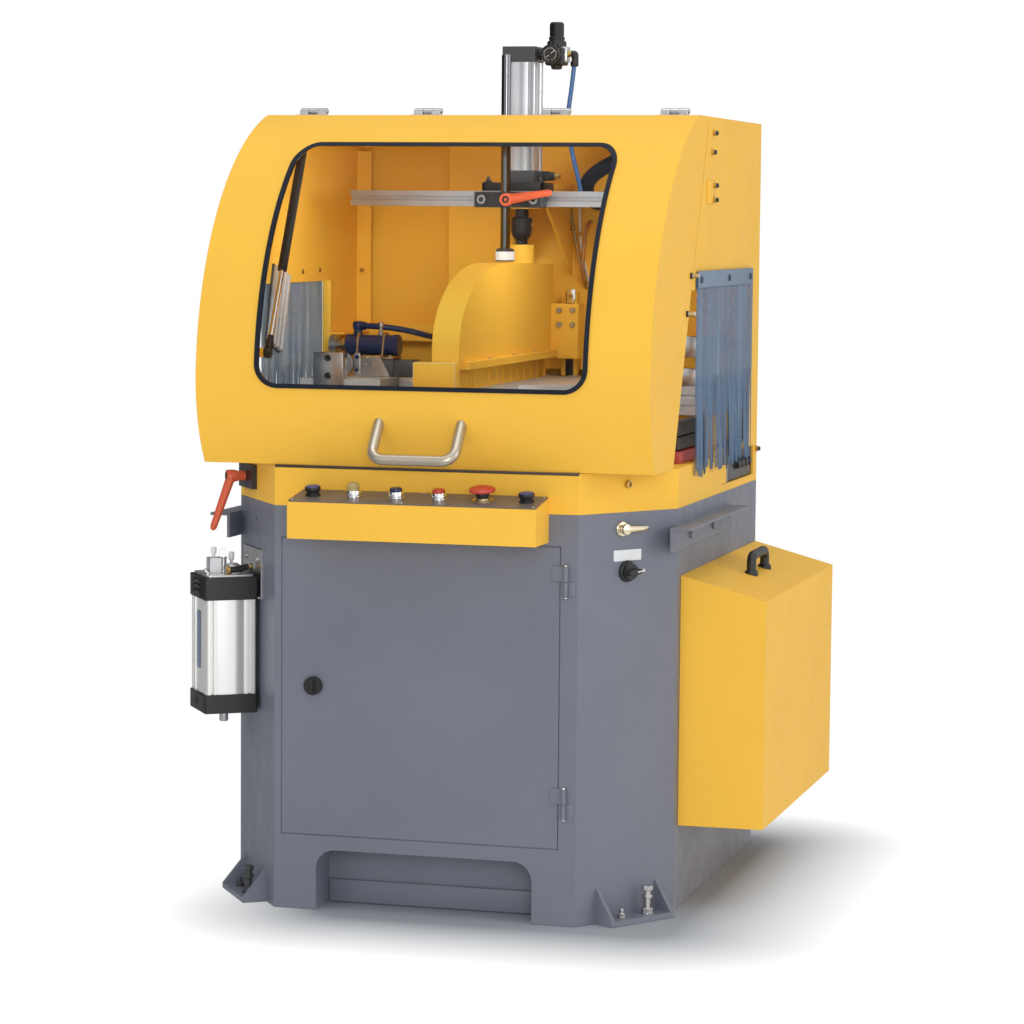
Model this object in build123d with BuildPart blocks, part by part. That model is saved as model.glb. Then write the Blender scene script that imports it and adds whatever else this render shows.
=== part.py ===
"""Mitre upcut saw with a yellow hood on a grey cabinet.

Millimetres, +Z up, -Y is the front. The origin lies on the floor under the middle of the cabinet.
Depths named d are measured backwards from the cabinet's front face.
"""
import os
from math import atan2, cos, hypot, pi, radians, sin, sqrt

from build123d import *

os.makedirs("parts", exist_ok=True)

# Cabinet and ring, plan and heights
CABINET_DEPTH = 915.0
HALF_WIDTH = 423.0
FRONT_HALF = 286.0
CHAMFER_DEPTH = 195.0
CABINET_TOP = 743.0
RING_TOP = 816.0
CABINET_SHEET = 4.0
RING_SHEET = 5.0
HOUSING_SHEET = 3.0
FRONT = -CABINET_DEPTH / 2
WELD = 0.5

# Front door, its opening and its hinge line
DOOR_LEFT, DOOR_RIGHT = -271.0, 252.0
DOOR_LOW, DOOR_HIGH = 140.0, 684.0
DOOR_GAP = 2.0
DOOR_SHEET = 3.0
DOOR_RETURN = 14.0
DOOR_HINGE_X, DOOR_HINGE_D = 264.0, -5.5
DOOR_HINGE_HEIGHTS = (222.0, 623.0)
DOOR_HINGE_LENGTH = 55.0
LOCK_X, LOCK_Z, LOCK_RADIUS = -210.0, 415.0, 17.0

# Toe recess, feet and side angles
TOE_HALF, TOE_TOP, TOE_RADIUS, TOE_DEPTH = 205.0, 112.0, 36.0, 80.0
FLOOR_PLATE_LOW, FLOOR_PLATE_HIGH = 118.0, 123.0
FOOT_LENGTH, FOOT_REACH, FOOT_THICK, FOOT_HEIGHT = 150.0, 46.0, 10.0, 66.0
FOOT_GUSSET = 8.0
BOLT_RADIUS, BOLT_TOP = 8.0, 62.0
ANGLE_FRONT, ANGLE_REAR = 132.0, 650.0
ANGLE_LOW, ANGLE_HIGH, ANGLE_REACH, ANGLE_THICK = 667.0, 713.0, 38.0, 5.0
ANGLE_HOLE_DEPTHS = (276.0, 471.0)
ANGLE_HOLE_RADIUS, ANGLE_HOLE_OUT, ANGLE_BOLT_Z = 5.5, 24.0, 690.0

# Hood profile: a wide arc, then a tighter one that turns the lower front inwards
HOOD_TOP, HOOD_BOTTOM = 1460.0, 818.0
HOOD_RADIUS, HOOD_CENTRE_D, HOOD_CENTRE_Z = 528.0, 482.0, 952.0
HOOD_JOIN_ANGLE, HOOD_LOW_RADIUS = radians(5), 280.0
SEAM_LOW_D, SEAM_HIGH_D, SEAM_GAP = 155.0, 420.0, 6.0
WINDOW_HALF, WINDOW_LOW, WINDOW_HIGH, WINDOW_CORNER = 306.0, 963.0, 1402.0, 40.0
GASKET_EDGE, GASKET_PROUD = 4.0, 4.0
HOOD_HINGE_D, HOOD_HINGE_Z, HOOD_HINGE_RADIUS = 417.0, 1469.5, 6.0
HOOD_HINGE_SPOTS = (-355.0, -125.0, 128.0, 358.0)
HOOD_HINGE_LENGTH = 52.0
HANDLE_HALF, HANDLE_RADIUS = 77.0, 10.0
SPRING_X, EYE_HALF = 377.0, 6.0
SPRING_TOP_D, SPRING_TOP_Z = 430.0, 1432.0
SPRING_LOW_D, SPRING_LOW_Z = 215.0, 1011.0

# Rear housing and its openings
OPENING_TOP = 1138.0
OPENING_REAR_RIGHT, OPENING_REAR_LEFT = 828.0, 668.0
COLUMN_HALF, COLUMN_D, COLUMN_LOW = 213.0, 850.0, 962.0
CURTAIN_TOP, CURTAIN_SLIT_TOP, CURTAIN_BOTTOM = 1170.0, 978.0, 822.0
CURTAIN_FRONT_D = 314.0
CURTAIN_INNER, CURTAIN_OUTER = 423.4, 426.0
CURTAIN_SLIT = 2.4
NOTCH_FRONT, NOTCH_REAR, NOTCH_LOW = 570.0, 883.0, 757.0

# Mitre axis, table and turntable
AXIS_D = 640.0
TABLE_TOP, TABLE_THICK = 950.0, 55.0
TABLE_INNER, TABLE_OUTER = 246.0, 412.0
TABLE_FRONT, TABLE_REAR = 500.0, 848.0
DISC_RADIUS = 240.0
BED_LOW, BED_HIGH, BED_HOLE = 816.0, 828.0, 213.0
BEARING_INNER, BEARING_OUTER, SPIGOT_INNER, SPIGOT_FIT = 215.0, 238.0, 196.0, 0.08
TONGUE_HALF, TONGUE_FRONT, TONGUE_LOW = 60.0, 90.0, 905.0
SLOT_HALF, SLOT_FRONT, SLOT_REAR = 6.0, 190.0, 766.0

# Saw arm, blade and drive
PIVOT_D, PIVOT_Z, PIVOT_RADIUS = 780.0, 640.0, 14.0
SPINDLE_D, SPINDLE_Z, SPINDLE_RADIUS = 457.0, 700.0, 17.0
MOTOR_D, MOTOR_Z, MOTOR_RADIUS = 700.0, 440.0, 70.0
ARM_LEFT, ARM_RIGHT = 14.0, 54.0
BLADE_RADIUS, BLADE_THICK, BLADE_TEETH = 238.0, 3.0, 60
PULLEY_LEFT, PULLEY_RIGHT, PULLEY_RADIUS = 62.0, 88.0, 40.0
BELT_CLEAR, BELT_THICK = 0.35, 6.0
RUNNING_FIT = 0.05
FEED_X, FEED_TOP_D, FEED_TOP_Z = 95.0, 575.0, 876.0
FEED_PIN_D, FEED_PIN_Z = 560.0, 681.0

# Guard, clamp cylinder, stop rod and rail
GUARD_HALF, GUARD_WALL = 26.0, 8.0
GUARD_FRONT, GUARD_REAR, GUARD_LOW = 123.0, 788.0, 990.0
GUARD_NOSE_D, GUARD_NOSE_Z, GUARD_HIGH, GUARD_REAR_HIGH = 430.0, 1030.0, 1182.0, 1177.0
CYLINDER_HALF, CYLINDER_LOW, CYLINDER_HIGH = 33.5, 1340.0, 1602.0
CAP_HEIGHT = 30.0
BRACKET_LOW, BRACKET_HIGH, BRACKET_HALF, BRACKET_FRONT = 1327.0, 1335.0, 55.0, 576.0
RAIL_HALF, RAIL_SIZE, RAIL_LOW = 324.0, 30.0, 1290.0
STOP_D, STOP_RADIUS, STOP_LOW, STOP_HIGH = 520.0, 9.5, 1184.0, 1582.0
CLAMP_FIT = 0.08

# Control box and operators
BOX_HALF, BOX_FRONT, BOX_LOW, BOX_FRONT_TOP, BOX_REAR_TOP = 231.0, -90.0, 692.0, 758.0, 772.0
BOX_SHEET = 2.5
OPERATOR_D = -45.0
OPERATOR_SPOTS = (-197.0, -120.0, -40.0, 40.0, 121.0, 202.0)
BEZEL_RADIUS, BEZEL_HOLE, BEZEL_HEIGHT = 15.0, 11.4, 6.0
STOP_BEZEL_RADIUS = 21.0

# Side cover on the right
COVER_OUTER, COVER_FRONT, COVER_REAR = 583.0, 222.0, 915.0
COVER_LOW, COVER_HIGH, COVER_EDGE_HIGH = 154.0, 618.0, 575.0
COVER_GAP = 0.5


def at(depth):
    """Y of a depth behind the cabinet's front face."""
    return FRONT + depth


def block(x_low, x_high, d_low, d_high, z_low, z_high, mode=Mode.ADD):
    """Box between six faces, in the open part."""
    with Locations(((x_low + x_high) / 2, at((d_low + d_high) / 2), (z_low + z_high) / 2)):
        Box(x_high - x_low, d_high - d_low, z_high - z_low, mode=mode)


def rod_x(x_low, x_high, depth, z, radius, mode=Mode.ADD):
    """Cylinder along X, in the open part."""
    with Locations(Location(((x_low + x_high) / 2, at(depth), z), (0, 90, 0))):
        Cylinder(radius, x_high - x_low, mode=mode)


def rod_y(x, d_low, d_high, z, radius, mode=Mode.ADD):
    """Cylinder along Y, in the open part."""
    with Locations(Location((x, at((d_low + d_high) / 2), z), (90, 0, 0))):
        Cylinder(radius, d_high - d_low, mode=mode)


def rod_z(x, depth, z_low, z_high, radius, mode=Mode.ADD):
    """Cylinder along Z, in the open part."""
    with Locations((x, at(depth), (z_low + z_high) / 2)):
        Cylinder(radius, z_high - z_low, mode=mode)


def side_plate(points, x_low, x_high):
    """Plate parallel to the side walls, from (depth, height) corners."""
    with BuildPart() as plate:
        with BuildSketch(Plane.YZ.offset(x_low)):
            with BuildLine():
                Polyline(*[(at(depth), z) for depth, z in points], close=True)
            make_face()
        extrude(amount=x_high - x_low)
    return plate.part


def plan_points():
    """Corners of the cabinet in plan."""
    return [
        (-HALF_WIDTH, at(CABINET_DEPTH)),
        (-HALF_WIDTH, at(CHAMFER_DEPTH)),
        (-FRONT_HALF, at(0)),
        (FRONT_HALF, at(0)),
        (HALF_WIDTH, at(CHAMFER_DEPTH)),
        (HALF_WIDTH, at(CABINET_DEPTH)),
    ]


def plan_ring(width, z_low, z_high):
    """Wall or flange that follows the cabinet's plan."""
    with BuildPart() as ring:
        with BuildSketch(Plane.XY.offset(z_low)):
            with BuildLine():
                Polyline(*plan_points(), close=True)
            make_face()
            offset(amount=-width, kind=Kind.INTERSECTION, mode=Mode.SUBTRACT)
        extrude(amount=z_high - z_low)
    return ring.part


def plan_plate(z_low, z_high):
    """Full plate with the cabinet's plan."""
    with BuildPart() as plate:
        with BuildSketch(Plane.XY.offset(z_low)):
            with BuildLine():
                Polyline(*plan_points(), close=True)
            make_face()
        extrude(amount=z_high - z_low)
    return plate.part


def chamfer_plane(side, along, z):
    """Plane on a front chamfer, facing out; along is the share of the chamfer from its front end."""
    x = side * (FRONT_HALF + along * (HALF_WIDTH - FRONT_HALF))
    length = hypot(HALF_WIDTH - FRONT_HALF, CHAMFER_DEPTH)
    outward = (side * CHAMFER_DEPTH / length, -(HALF_WIDTH - FRONT_HALF) / length, 0)
    level = (-outward[1], outward[0], 0)
    return Plane(origin=(x, at(along * CHAMFER_DEPTH), z), x_dir=level, z_dir=outward)


def seam_depth(z):
    """Depth of the slanting joint between hood and housing at a height."""
    share = (z - HOOD_BOTTOM) / (HOOD_TOP - HOOD_BOTTOM)
    return SEAM_LOW_D + share * (SEAM_HIGH_D - SEAM_LOW_D)


def hood_join(inset):
    """Height where the hood's two arcs meet, moved inwards by an inset."""
    return HOOD_CENTRE_Z + (HOOD_RADIUS - inset) * sin(HOOD_JOIN_ANGLE)


def hood_front(z, inset=0.0):
    """Point (Y, Z) of the hood's curved front, moved inwards by an inset."""
    if z >= hood_join(inset):
        radius, centre_d, centre_z = HOOD_RADIUS, HOOD_CENTRE_D, HOOD_CENTRE_Z
    else:
        shift = HOOD_RADIUS - HOOD_LOW_RADIUS
        radius = HOOD_LOW_RADIUS
        centre_d = HOOD_CENTRE_D - shift * cos(HOOD_JOIN_ANGLE)
        centre_z = HOOD_CENTRE_Z + shift * sin(HOOD_JOIN_ANGLE)
    return (at(centre_d) - sqrt((radius - inset) ** 2 - (z - centre_z) ** 2), z)


def hood_curve(high, low, inset):
    """Both arcs of the hood's front between two heights, in the open line."""
    join = hood_join(inset)
    for top, bottom in ((high, join), (join, low)):
        ThreePointArc(*(hood_front(z, inset) for z in (top, (top + bottom) / 2, bottom)))


# Cabinet with floor, toe recess, feet and side angles
TOP_FLANGE = 40.0
FOOT_SPOTS = (
    chamfer_plane(-1, 0.52, 0),
    chamfer_plane(1, 0.52, 0),
    Plane(origin=(-330, at(CABINET_DEPTH), 0), x_dir=(-1, 0, 0), z_dir=(0, 1, 0)),
    Plane(origin=(330, at(CABINET_DEPTH), 0), x_dir=(-1, 0, 0), z_dir=(0, 1, 0)),
)


def foot_bracket(spot):
    """Sole plate with two gussets, standing out from the wall at a plane."""
    up = 1 if spot.y_dir.Z > 0 else -1
    reach = FOOT_REACH + WELD
    with BuildPart() as bracket:
        with BuildSketch(spot.offset(-WELD)):
            with Locations((0, up * FOOT_THICK / 2)):
                Rectangle(FOOT_LENGTH, FOOT_THICK)
        extrude(amount=reach)
        for end in (-1, 1):
            middle = end * (FOOT_LENGTH - FOOT_GUSSET) / 2
            root = spot.origin + spot.x_dir * (middle - FOOT_GUSSET / 2) - spot.z_dir * WELD
            side = Plane(origin=root, x_dir=spot.z_dir, z_dir=spot.x_dir)
            rise = 1 if side.y_dir.Z > 0 else -1
            with BuildSketch(side):
                with BuildLine():
                    Polyline(
                        (0, 0),
                        (reach, 0),
                        (reach, rise * FOOT_THICK),
                        (0, rise * FOOT_HEIGHT),
                        close=True,
                    )
                make_face()
            extrude(amount=FOOT_GUSSET)
    return bracket.part


def foot_point(spot, along, out, z):
    """Point over a foot: along the wall, out from it, and its height."""
    place = spot.origin + spot.x_dir * along + spot.z_dir * out
    return (place.X, place.Y, z)


with BuildPart() as cabinet_shell:
    add(plan_ring(CABINET_SHEET, 0, CABINET_TOP))
    add(plan_ring(TOP_FLANGE, CABINET_TOP - CABINET_SHEET, CABINET_TOP))
    add(plan_plate(0, CABINET_SHEET))
    add(plan_plate(FLOOR_PLATE_LOW, FLOOR_PLATE_HIGH))
    # door opening with the stop frame behind it
    block(DOOR_LEFT - 12, DOOR_RIGHT + 12, WELD, 22, DOOR_LOW - 12, DOOR_HIGH + 12)
    block(
        DOOR_LEFT - DOOR_GAP, DOOR_RIGHT + DOOR_GAP, -WELD, DOOR_RETURN + 4,
        DOOR_LOW - DOOR_GAP, DOOR_HIGH + DOOR_GAP, Mode.SUBTRACT,
    )
    block(DOOR_LEFT + 16, DOOR_RIGHT - 16, -WELD, 30, DOOR_LOW + 16, DOOR_HIGH - 16, Mode.SUBTRACT)
    # toe recess: a pocket with rounded top corners
    with BuildSketch(Plane.XZ.offset(-at(TOE_DEPTH + CABINET_SHEET))):
        with Locations((0, TOE_TOP / 2)):
            Rectangle(2 * (TOE_HALF + CABINET_SHEET), TOE_TOP + 2 * CABINET_SHEET)
    extrude(amount=TOE_DEPTH + CABINET_SHEET - WELD)
    with BuildSketch(Plane.XZ.offset(-at(TOE_DEPTH))) as toe:
        Rectangle(2 * TOE_HALF, 2 * TOE_TOP)
        fillet(toe.vertices(), TOE_RADIUS)
    extrude(amount=TOE_DEPTH + 10, mode=Mode.SUBTRACT)
    block(-HALF_WIDTH, HALF_WIDTH, 0, CABINET_DEPTH, -10, 0, Mode.SUBTRACT)
    # opening into the side cover, and the hole in the left chamfer
    block(HALF_WIDTH - 10, HALF_WIDTH + 10, 262, 876, 200, 540, Mode.SUBTRACT)
    left_hole = chamfer_plane(-1, 0.533, 706)
    with Locations(left_hole.location):
        Cylinder(6, 30, mode=Mode.SUBTRACT)
    for spot in FOOT_SPOTS:
        add(foot_bracket(spot))
    for spot in FOOT_SPOTS:
        with Locations(foot_point(spot, 30, FOOT_REACH / 2, 0)):
            Cylinder(BOLT_RADIUS + 0.4, 60, mode=Mode.SUBTRACT)
        with Locations(foot_point(spot, -32, FOOT_REACH / 2, 0)):
            Cylinder(5.4, 60, mode=Mode.SUBTRACT)
    for side in (-1, 1):
        wall = side * (HALF_WIDTH - WELD)
        edge = side * (HALF_WIDTH + ANGLE_REACH)
        inner = side * (HALF_WIDTH + ANGLE_THICK)
        block(min(wall, inner), max(wall, inner), ANGLE_FRONT, ANGLE_REAR, ANGLE_LOW, ANGLE_HIGH)
        block(min(wall, edge), max(wall, edge), ANGLE_FRONT, ANGLE_REAR, ANGLE_HIGH - ANGLE_THICK, ANGLE_HIGH)
        head = side * (HALF_WIDTH + ANGLE_THICK + 5)
        for depth in ANGLE_HOLE_DEPTHS:
            hole_x = side * (HALF_WIDTH + ANGLE_HOLE_OUT)
            rod_z(hole_x, depth, ANGLE_LOW, ANGLE_HIGH + 5, ANGLE_HOLE_RADIUS, Mode.SUBTRACT)
            rod_x(min(inner, head) - WELD / 2, max(inner, head) + WELD / 2, depth, ANGLE_BOLT_Z, 8)
cabinet_shell.part.label = "cabinet_shell"
export_step(cabinet_shell.part, "parts/cabinet_shell.step")

with BuildPart() as levelling_bolts:
    for spot in FOOT_SPOTS:
        with Locations(foot_point(spot, 30, FOOT_REACH / 2, BOLT_TOP / 2)):
            Cylinder(BOLT_RADIUS, BOLT_TOP)
        with BuildSketch(Plane.XY.offset(FOOT_THICK)):
            with Locations(foot_point(spot, 30, FOOT_REACH / 2, 0)[:2]):
                RegularPolygon(14, 6)
        extrude(amount=13)
        with BuildSketch(Plane.XY.offset(BOLT_TOP - 10)):
            with Locations(foot_point(spot, 30, FOOT_REACH / 2, 0)[:2]):
                RegularPolygon(13, 6)
        extrude(amount=10)
        with Locations(foot_point(spot, -32, FOOT_REACH / 2, 15)):
            Cylinder(5, 30)
        with BuildSketch(Plane.XY.offset(FOOT_THICK)):
            with Locations(foot_point(spot, -32, FOOT_REACH / 2, 0)[:2]):
                RegularPolygon(9.5, 6)
        extrude(amount=8)
levelling_bolts.part.label = "levelling_bolts"
export_step(levelling_bolts.part, "parts/levelling_bolts.step")

# Front door with its lock and hinges
with BuildPart() as front_door:
    block(DOOR_LEFT, DOOR_RIGHT, 0, DOOR_RETURN, DOOR_LOW, DOOR_HIGH)
    block(
        DOOR_LEFT + DOOR_SHEET, DOOR_RIGHT - DOOR_SHEET, DOOR_SHEET, DOOR_RETURN + 1,
        DOOR_LOW + DOOR_SHEET, DOOR_HIGH - DOOR_SHEET, Mode.SUBTRACT,
    )
    rod_y(LOCK_X, -5, 10, LOCK_Z, 10 + RUNNING_FIT, Mode.SUBTRACT)
    for middle in DOOR_HINGE_HEIGHTS:
        top = middle + DOOR_HINGE_LENGTH / 2
        block(DOOR_HINGE_X - 26, DOOR_HINGE_X, -2.2, 0, middle + 0.5, top)
        rod_z(DOOR_HINGE_X, DOOR_HINGE_D, middle + 0.5, top, 5)
        rod_z(DOOR_HINGE_X, DOOR_HINGE_D, middle, top + 1, 2.5 + RUNNING_FIT, Mode.SUBTRACT)
front_door.part.label = "front_door"
export_step(front_door.part, "parts/front_door.step")

with BuildPart() as door_hinges:
    for middle in DOOR_HINGE_HEIGHTS:
        low = middle - DOOR_HINGE_LENGTH / 2
        top = middle + DOOR_HINGE_LENGTH / 2
        block(DOOR_HINGE_X, DOOR_HINGE_X + 18, -2.2, 0, low, middle)
        rod_z(DOOR_HINGE_X, DOOR_HINGE_D, low, middle, 5)
        rod_z(DOOR_HINGE_X, DOOR_HINGE_D, low - 3, top + 3, 2.5)
        rod_z(DOOR_HINGE_X, DOOR_HINGE_D, top + 0.5, top + 3, 4)
        rod_z(DOOR_HINGE_X, DOOR_HINGE_D, low - 3, low, 4)
door_hinges.part.label = "door_hinges"
export_step(door_hinges.part, "parts/door_hinges.step")

with BuildPart() as door_lock:
    rod_y(LOCK_X, -8, -0.1, LOCK_Z, LOCK_RADIUS)
    rod_y(LOCK_X, -8, 15, LOCK_Z, 10)
    block(LOCK_X - 3, LOCK_X + 3, -16, -7, LOCK_Z - 12, LOCK_Z + 12)
    block(LOCK_X - 50, LOCK_X + 8, DOOR_RETURN - 3.5, DOOR_RETURN + 0.5, LOCK_Z - 9, LOCK_Z + 9)
door_lock.part.label = "door_lock"
export_step(door_lock.part, "parts/door_lock.step")

# Table ring with bed plate, bearing and table supports
LOCK_ALONG, LOCK_BLOCK_LENGTH, LOCK_BLOCK_LOW, LOCK_BLOCK_HIGH = 0.72, 92.0, 762.0, 806.0
SECTOR_HALF, SECTOR_FRONT = 460.0, 375.0

with BuildPart() as table_ring:
    add(plan_ring(RING_SHEET, CABINET_TOP, RING_TOP))
    add(plan_ring(38, RING_TOP - RING_SHEET, RING_TOP))
    block(-HALF_WIDTH + 4, HALF_WIDTH - 4, TABLE_FRONT, CABINET_DEPTH - 6, BED_LOW - WELD, BED_HIGH)
    rod_z(0, AXIS_D, BED_HIGH - WELD, TABLE_TOP - TABLE_THICK - 0.4, BEARING_OUTER)
    rod_z(0, AXIS_D, BED_HIGH - WELD, TABLE_TOP, BEARING_INNER, Mode.SUBTRACT)
    rod_z(0, AXIS_D, BED_LOW - 10, BED_HIGH + 1, BED_HOLE, Mode.SUBTRACT)
    with BuildSketch(Plane.XY.offset(BED_LOW - 10)):
        with BuildLine():
            sector_left = (-SECTOR_HALF, at(SECTOR_FRONT))
            sector_right = (SECTOR_HALF, at(SECTOR_FRONT))
            Polyline((0, at(AXIS_D)), sector_left, sector_right, close=True)
        make_face()
    extrude(amount=TABLE_TOP - BED_LOW, mode=Mode.SUBTRACT)
    for side in (-1, 1):
        inner, outer = side * 352.0, side * 402.0
        block(min(inner, outer), max(inner, outer), 520, 830, BED_HIGH - WELD, TABLE_TOP - TABLE_THICK)
    block(HALF_WIDTH - 10, HALF_WIDTH + 10, NOTCH_FRONT, NOTCH_REAR, NOTCH_LOW, BED_LOW - WELD, Mode.SUBTRACT)
    lock_window = chamfer_plane(-1, LOCK_ALONG, (LOCK_BLOCK_LOW + LOCK_BLOCK_HIGH) / 2)
    with Locations(lock_window.location):
        Box(LOCK_BLOCK_LENGTH + 1, LOCK_BLOCK_HIGH - LOCK_BLOCK_LOW + 1, 16, mode=Mode.SUBTRACT)
table_ring.part.label = "table_ring"
export_step(table_ring.part, "parts/table_ring.step")

with BuildPart() as side_tables:
    for side in (-1, 1):
        inner, outer = side * TABLE_INNER, side * TABLE_OUTER
        block(min(inner, outer), max(inner, outer), TABLE_FRONT, TABLE_REAR, TABLE_TOP - TABLE_THICK, TABLE_TOP)
        for level in (TABLE_TOP - 18, TABLE_TOP - 37):
            low, high = min(inner, outer), max(inner, outer)
            block(low - 1, high + 1, TABLE_FRONT - 1, TABLE_FRONT + 4, level - 2, level + 2, Mode.SUBTRACT)
side_tables.part.label = "side_tables"
export_step(side_tables.part, "parts/side_tables.step")

with BuildPart() as fences:
    block(-383, -321, TABLE_FRONT + 2, TABLE_FRONT + 20, TABLE_TOP, 1002)
    block(330, 408, TABLE_FRONT + 2, TABLE_FRONT + 20, TABLE_TOP, 1046)
    block(352, 386, TABLE_FRONT, TABLE_FRONT + 30, 985, 1005, Mode.SUBTRACT)
    for spot in (-368, -336):
        rod_y(spot, TABLE_FRONT - 2, TABLE_FRONT + 4, 978, 6)
fences.part.label = "fences"
export_step(fences.part, "parts/fences.step")

# Rear housing with column and cylinder bracket
BRACKET_HOLE = 24.0
ROOF_HOLE_HALF, ROOF_HOLE_FRONT, ROOF_HOLE_REAR = 130.0, 486.0, 720.0

with BuildPart() as rear_housing:
    for side, rear in ((-1, OPENING_REAR_LEFT), (1, OPENING_REAR_RIGHT)):
        corners = [
            (SEAM_HIGH_D, HOOD_TOP),
            (CABINET_DEPTH, HOOD_TOP),
            (CABINET_DEPTH, RING_TOP),
            (rear, RING_TOP),
            (rear, OPENING_TOP),
            (seam_depth(OPENING_TOP), OPENING_TOP),
        ]
        wall = side * HALF_WIDTH
        inside = side * (HALF_WIDTH - HOUSING_SHEET)
        add(side_plate(corners, min(wall, inside), max(wall, inside)))
        stud_end = side * (SPRING_X - 9)
        rod_x(min(stud_end, inside), max(stud_end, inside), SPRING_TOP_D, SPRING_TOP_Z, 5)
        rod_x(min(inside - side * 30, inside), max(inside - side * 30, inside), SPRING_TOP_D, SPRING_TOP_Z, 11)
    block(-HALF_WIDTH, HALF_WIDTH, SEAM_HIGH_D, CABINET_DEPTH, HOOD_TOP - HOUSING_SHEET, HOOD_TOP)
    block(
        -ROOF_HOLE_HALF, ROOF_HOLE_HALF, ROOF_HOLE_FRONT, ROOF_HOLE_REAR,
        HOOD_TOP - 10, HOOD_TOP + 10, Mode.SUBTRACT,
    )
    rear_inside = CABINET_DEPTH - HOUSING_SHEET
    block(-HALF_WIDTH, HALF_WIDTH, rear_inside, CABINET_DEPTH, RING_TOP, HOOD_TOP)
    block(-COLUMN_HALF, COLUMN_HALF, COLUMN_D, rear_inside + WELD, COLUMN_LOW, HOOD_TOP - WELD)
    hollow = COLUMN_HALF - 4
    block(-hollow, hollow, COLUMN_D + 4, rear_inside, COLUMN_LOW - 1, HOOD_TOP - 4, Mode.SUBTRACT)
    block(-HALF_WIDTH + 1, -COLUMN_HALF + WELD, 876, rear_inside + WELD, 1029, 1034)
    block(COLUMN_HALF - WELD, HALF_WIDTH - 1, 876, rear_inside + WELD, 1029, 1034)
    block(-HALF_WIDTH + 1, -HALF_WIDTH + 33, 704, 880, 1029, 1034)
    block(-HALF_WIDTH + 1, -HALF_WIDTH + 33, 880, 884, 1034 - WELD, 1404)
    block(-BRACKET_HALF, BRACKET_HALF, BRACKET_FRONT, COLUMN_D + WELD, BRACKET_LOW, BRACKET_HIGH)
    block(-BRACKET_HALF, BRACKET_HALF, BRACKET_FRONT, BRACKET_FRONT + 8, 1286, BRACKET_LOW + WELD)
    gusset = [(592, BRACKET_LOW + WELD), (COLUMN_D + WELD, BRACKET_LOW + WELD), (COLUMN_D + WELD, 1152)]
    for side in (-1, 1):
        near, far = side * 45.0, side * 51.0
        add(side_plate(gusset, min(near, far), max(near, far)))
    rod_z(0, AXIS_D, BRACKET_LOW - 5, BRACKET_HIGH + 5, BRACKET_HOLE, Mode.SUBTRACT)
rear_housing.part.label = "rear_housing"
export_step(rear_housing.part, "parts/rear_housing.step")

# Strip curtains with their bars
BAR_LOW, BAR_HIGH, BAR_INNER, BAR_OUTER = 1142.0, 1173.0, 426.3, 429.3
CURTAIN_RANGES = ((-1, OPENING_REAR_LEFT - 6.0), (1, OPENING_REAR_RIGHT - 6.0))
RIVET_RADIUS, RIVET_Z = 3.0, 1156.0


def rivet_depths(rear):
    """Depths of the three rivets that hold a curtain."""
    return (CURTAIN_FRONT_D + 40, (CURTAIN_FRONT_D + rear) / 2, rear - 30)


def curtain(side, rear, strips):
    """Flat sheet cut into strips below a line."""
    near, far = side * CURTAIN_INNER, side * CURTAIN_OUTER
    pitch = (rear - CURTAIN_FRONT_D) / strips
    with BuildPart() as sheet:
        block(min(near, far), max(near, far), CURTAIN_FRONT_D, rear, CURTAIN_BOTTOM, CURTAIN_TOP)
        for number in range(1, strips):
            cut = CURTAIN_FRONT_D + number * pitch
            block(
                min(near, far) - 1, max(near, far) + 1, cut - CURTAIN_SLIT / 2, cut + CURTAIN_SLIT / 2,
                CURTAIN_BOTTOM - 1, CURTAIN_SLIT_TOP, Mode.SUBTRACT,
            )
        for depth in rivet_depths(rear):
            rod_x(min(near, far) - 1, max(near, far) + 1, depth, RIVET_Z, RIVET_RADIUS + 0.5, Mode.SUBTRACT)
    return sheet.part


with BuildPart() as curtain_left:
    add(curtain(*CURTAIN_RANGES[0], 12))
curtain_left.part.label = "curtain_left"
export_step(curtain_left.part, "parts/curtain_left.step")

with BuildPart() as curtain_right:
    add(curtain(*CURTAIN_RANGES[1], 18))
curtain_right.part.label = "curtain_right"
export_step(curtain_right.part, "parts/curtain_right.step")

with BuildPart() as curtain_bars:
    for side, rear in CURTAIN_RANGES:
        near, far = side * BAR_INNER, side * BAR_OUTER
        block(min(near, far), max(near, far), CURTAIN_FRONT_D + 4, rear, BAR_LOW, BAR_HIGH)
        tip = side * (BAR_OUTER + 2.5)
        root = side * HALF_WIDTH
        for depth in rivet_depths(rear):
            rod_x(min(root, tip), max(root, tip), depth, RIVET_Z, RIVET_RADIUS)
            rod_x(min(far, tip), max(far, tip), depth, RIVET_Z, 6)
curtain_bars.part.label = "curtain_bars"
export_step(curtain_bars.part, "parts/curtain_bars.step")

# Hood with window, gasket, handle and hinges
def hood_band(outer_inset, inner_inset):
    """Curved plate that follows the hood's front between two insets."""
    with BuildPart() as band:
        with BuildSketch(Plane.YZ.offset(-GASKET_BAND_HALF)):
            with BuildLine():
                for inset in (outer_inset, inner_inset):
                    hood_curve(BAND_HIGH, BAND_LOW, inset)
                for z in (BAND_LOW, BAND_HIGH):
                    Line(hood_front(z, outer_inset), hood_front(z, inner_inset))
            make_face()
        extrude(amount=2 * GASKET_BAND_HALF)
    return band.part


def window_prism(grow):
    """Rounded window outline, run through the hood's front."""
    with BuildPart() as prism:
        with BuildSketch(Plane.XZ.offset(-at(300))):
            with Locations((0, (WINDOW_LOW + WINDOW_HIGH) / 2)):
                RectangleRounded(
                    2 * (WINDOW_HALF + grow), WINDOW_HIGH - WINDOW_LOW + 2 * grow, WINDOW_CORNER + grow
                )
        extrude(amount=450)
    return prism.part


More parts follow.
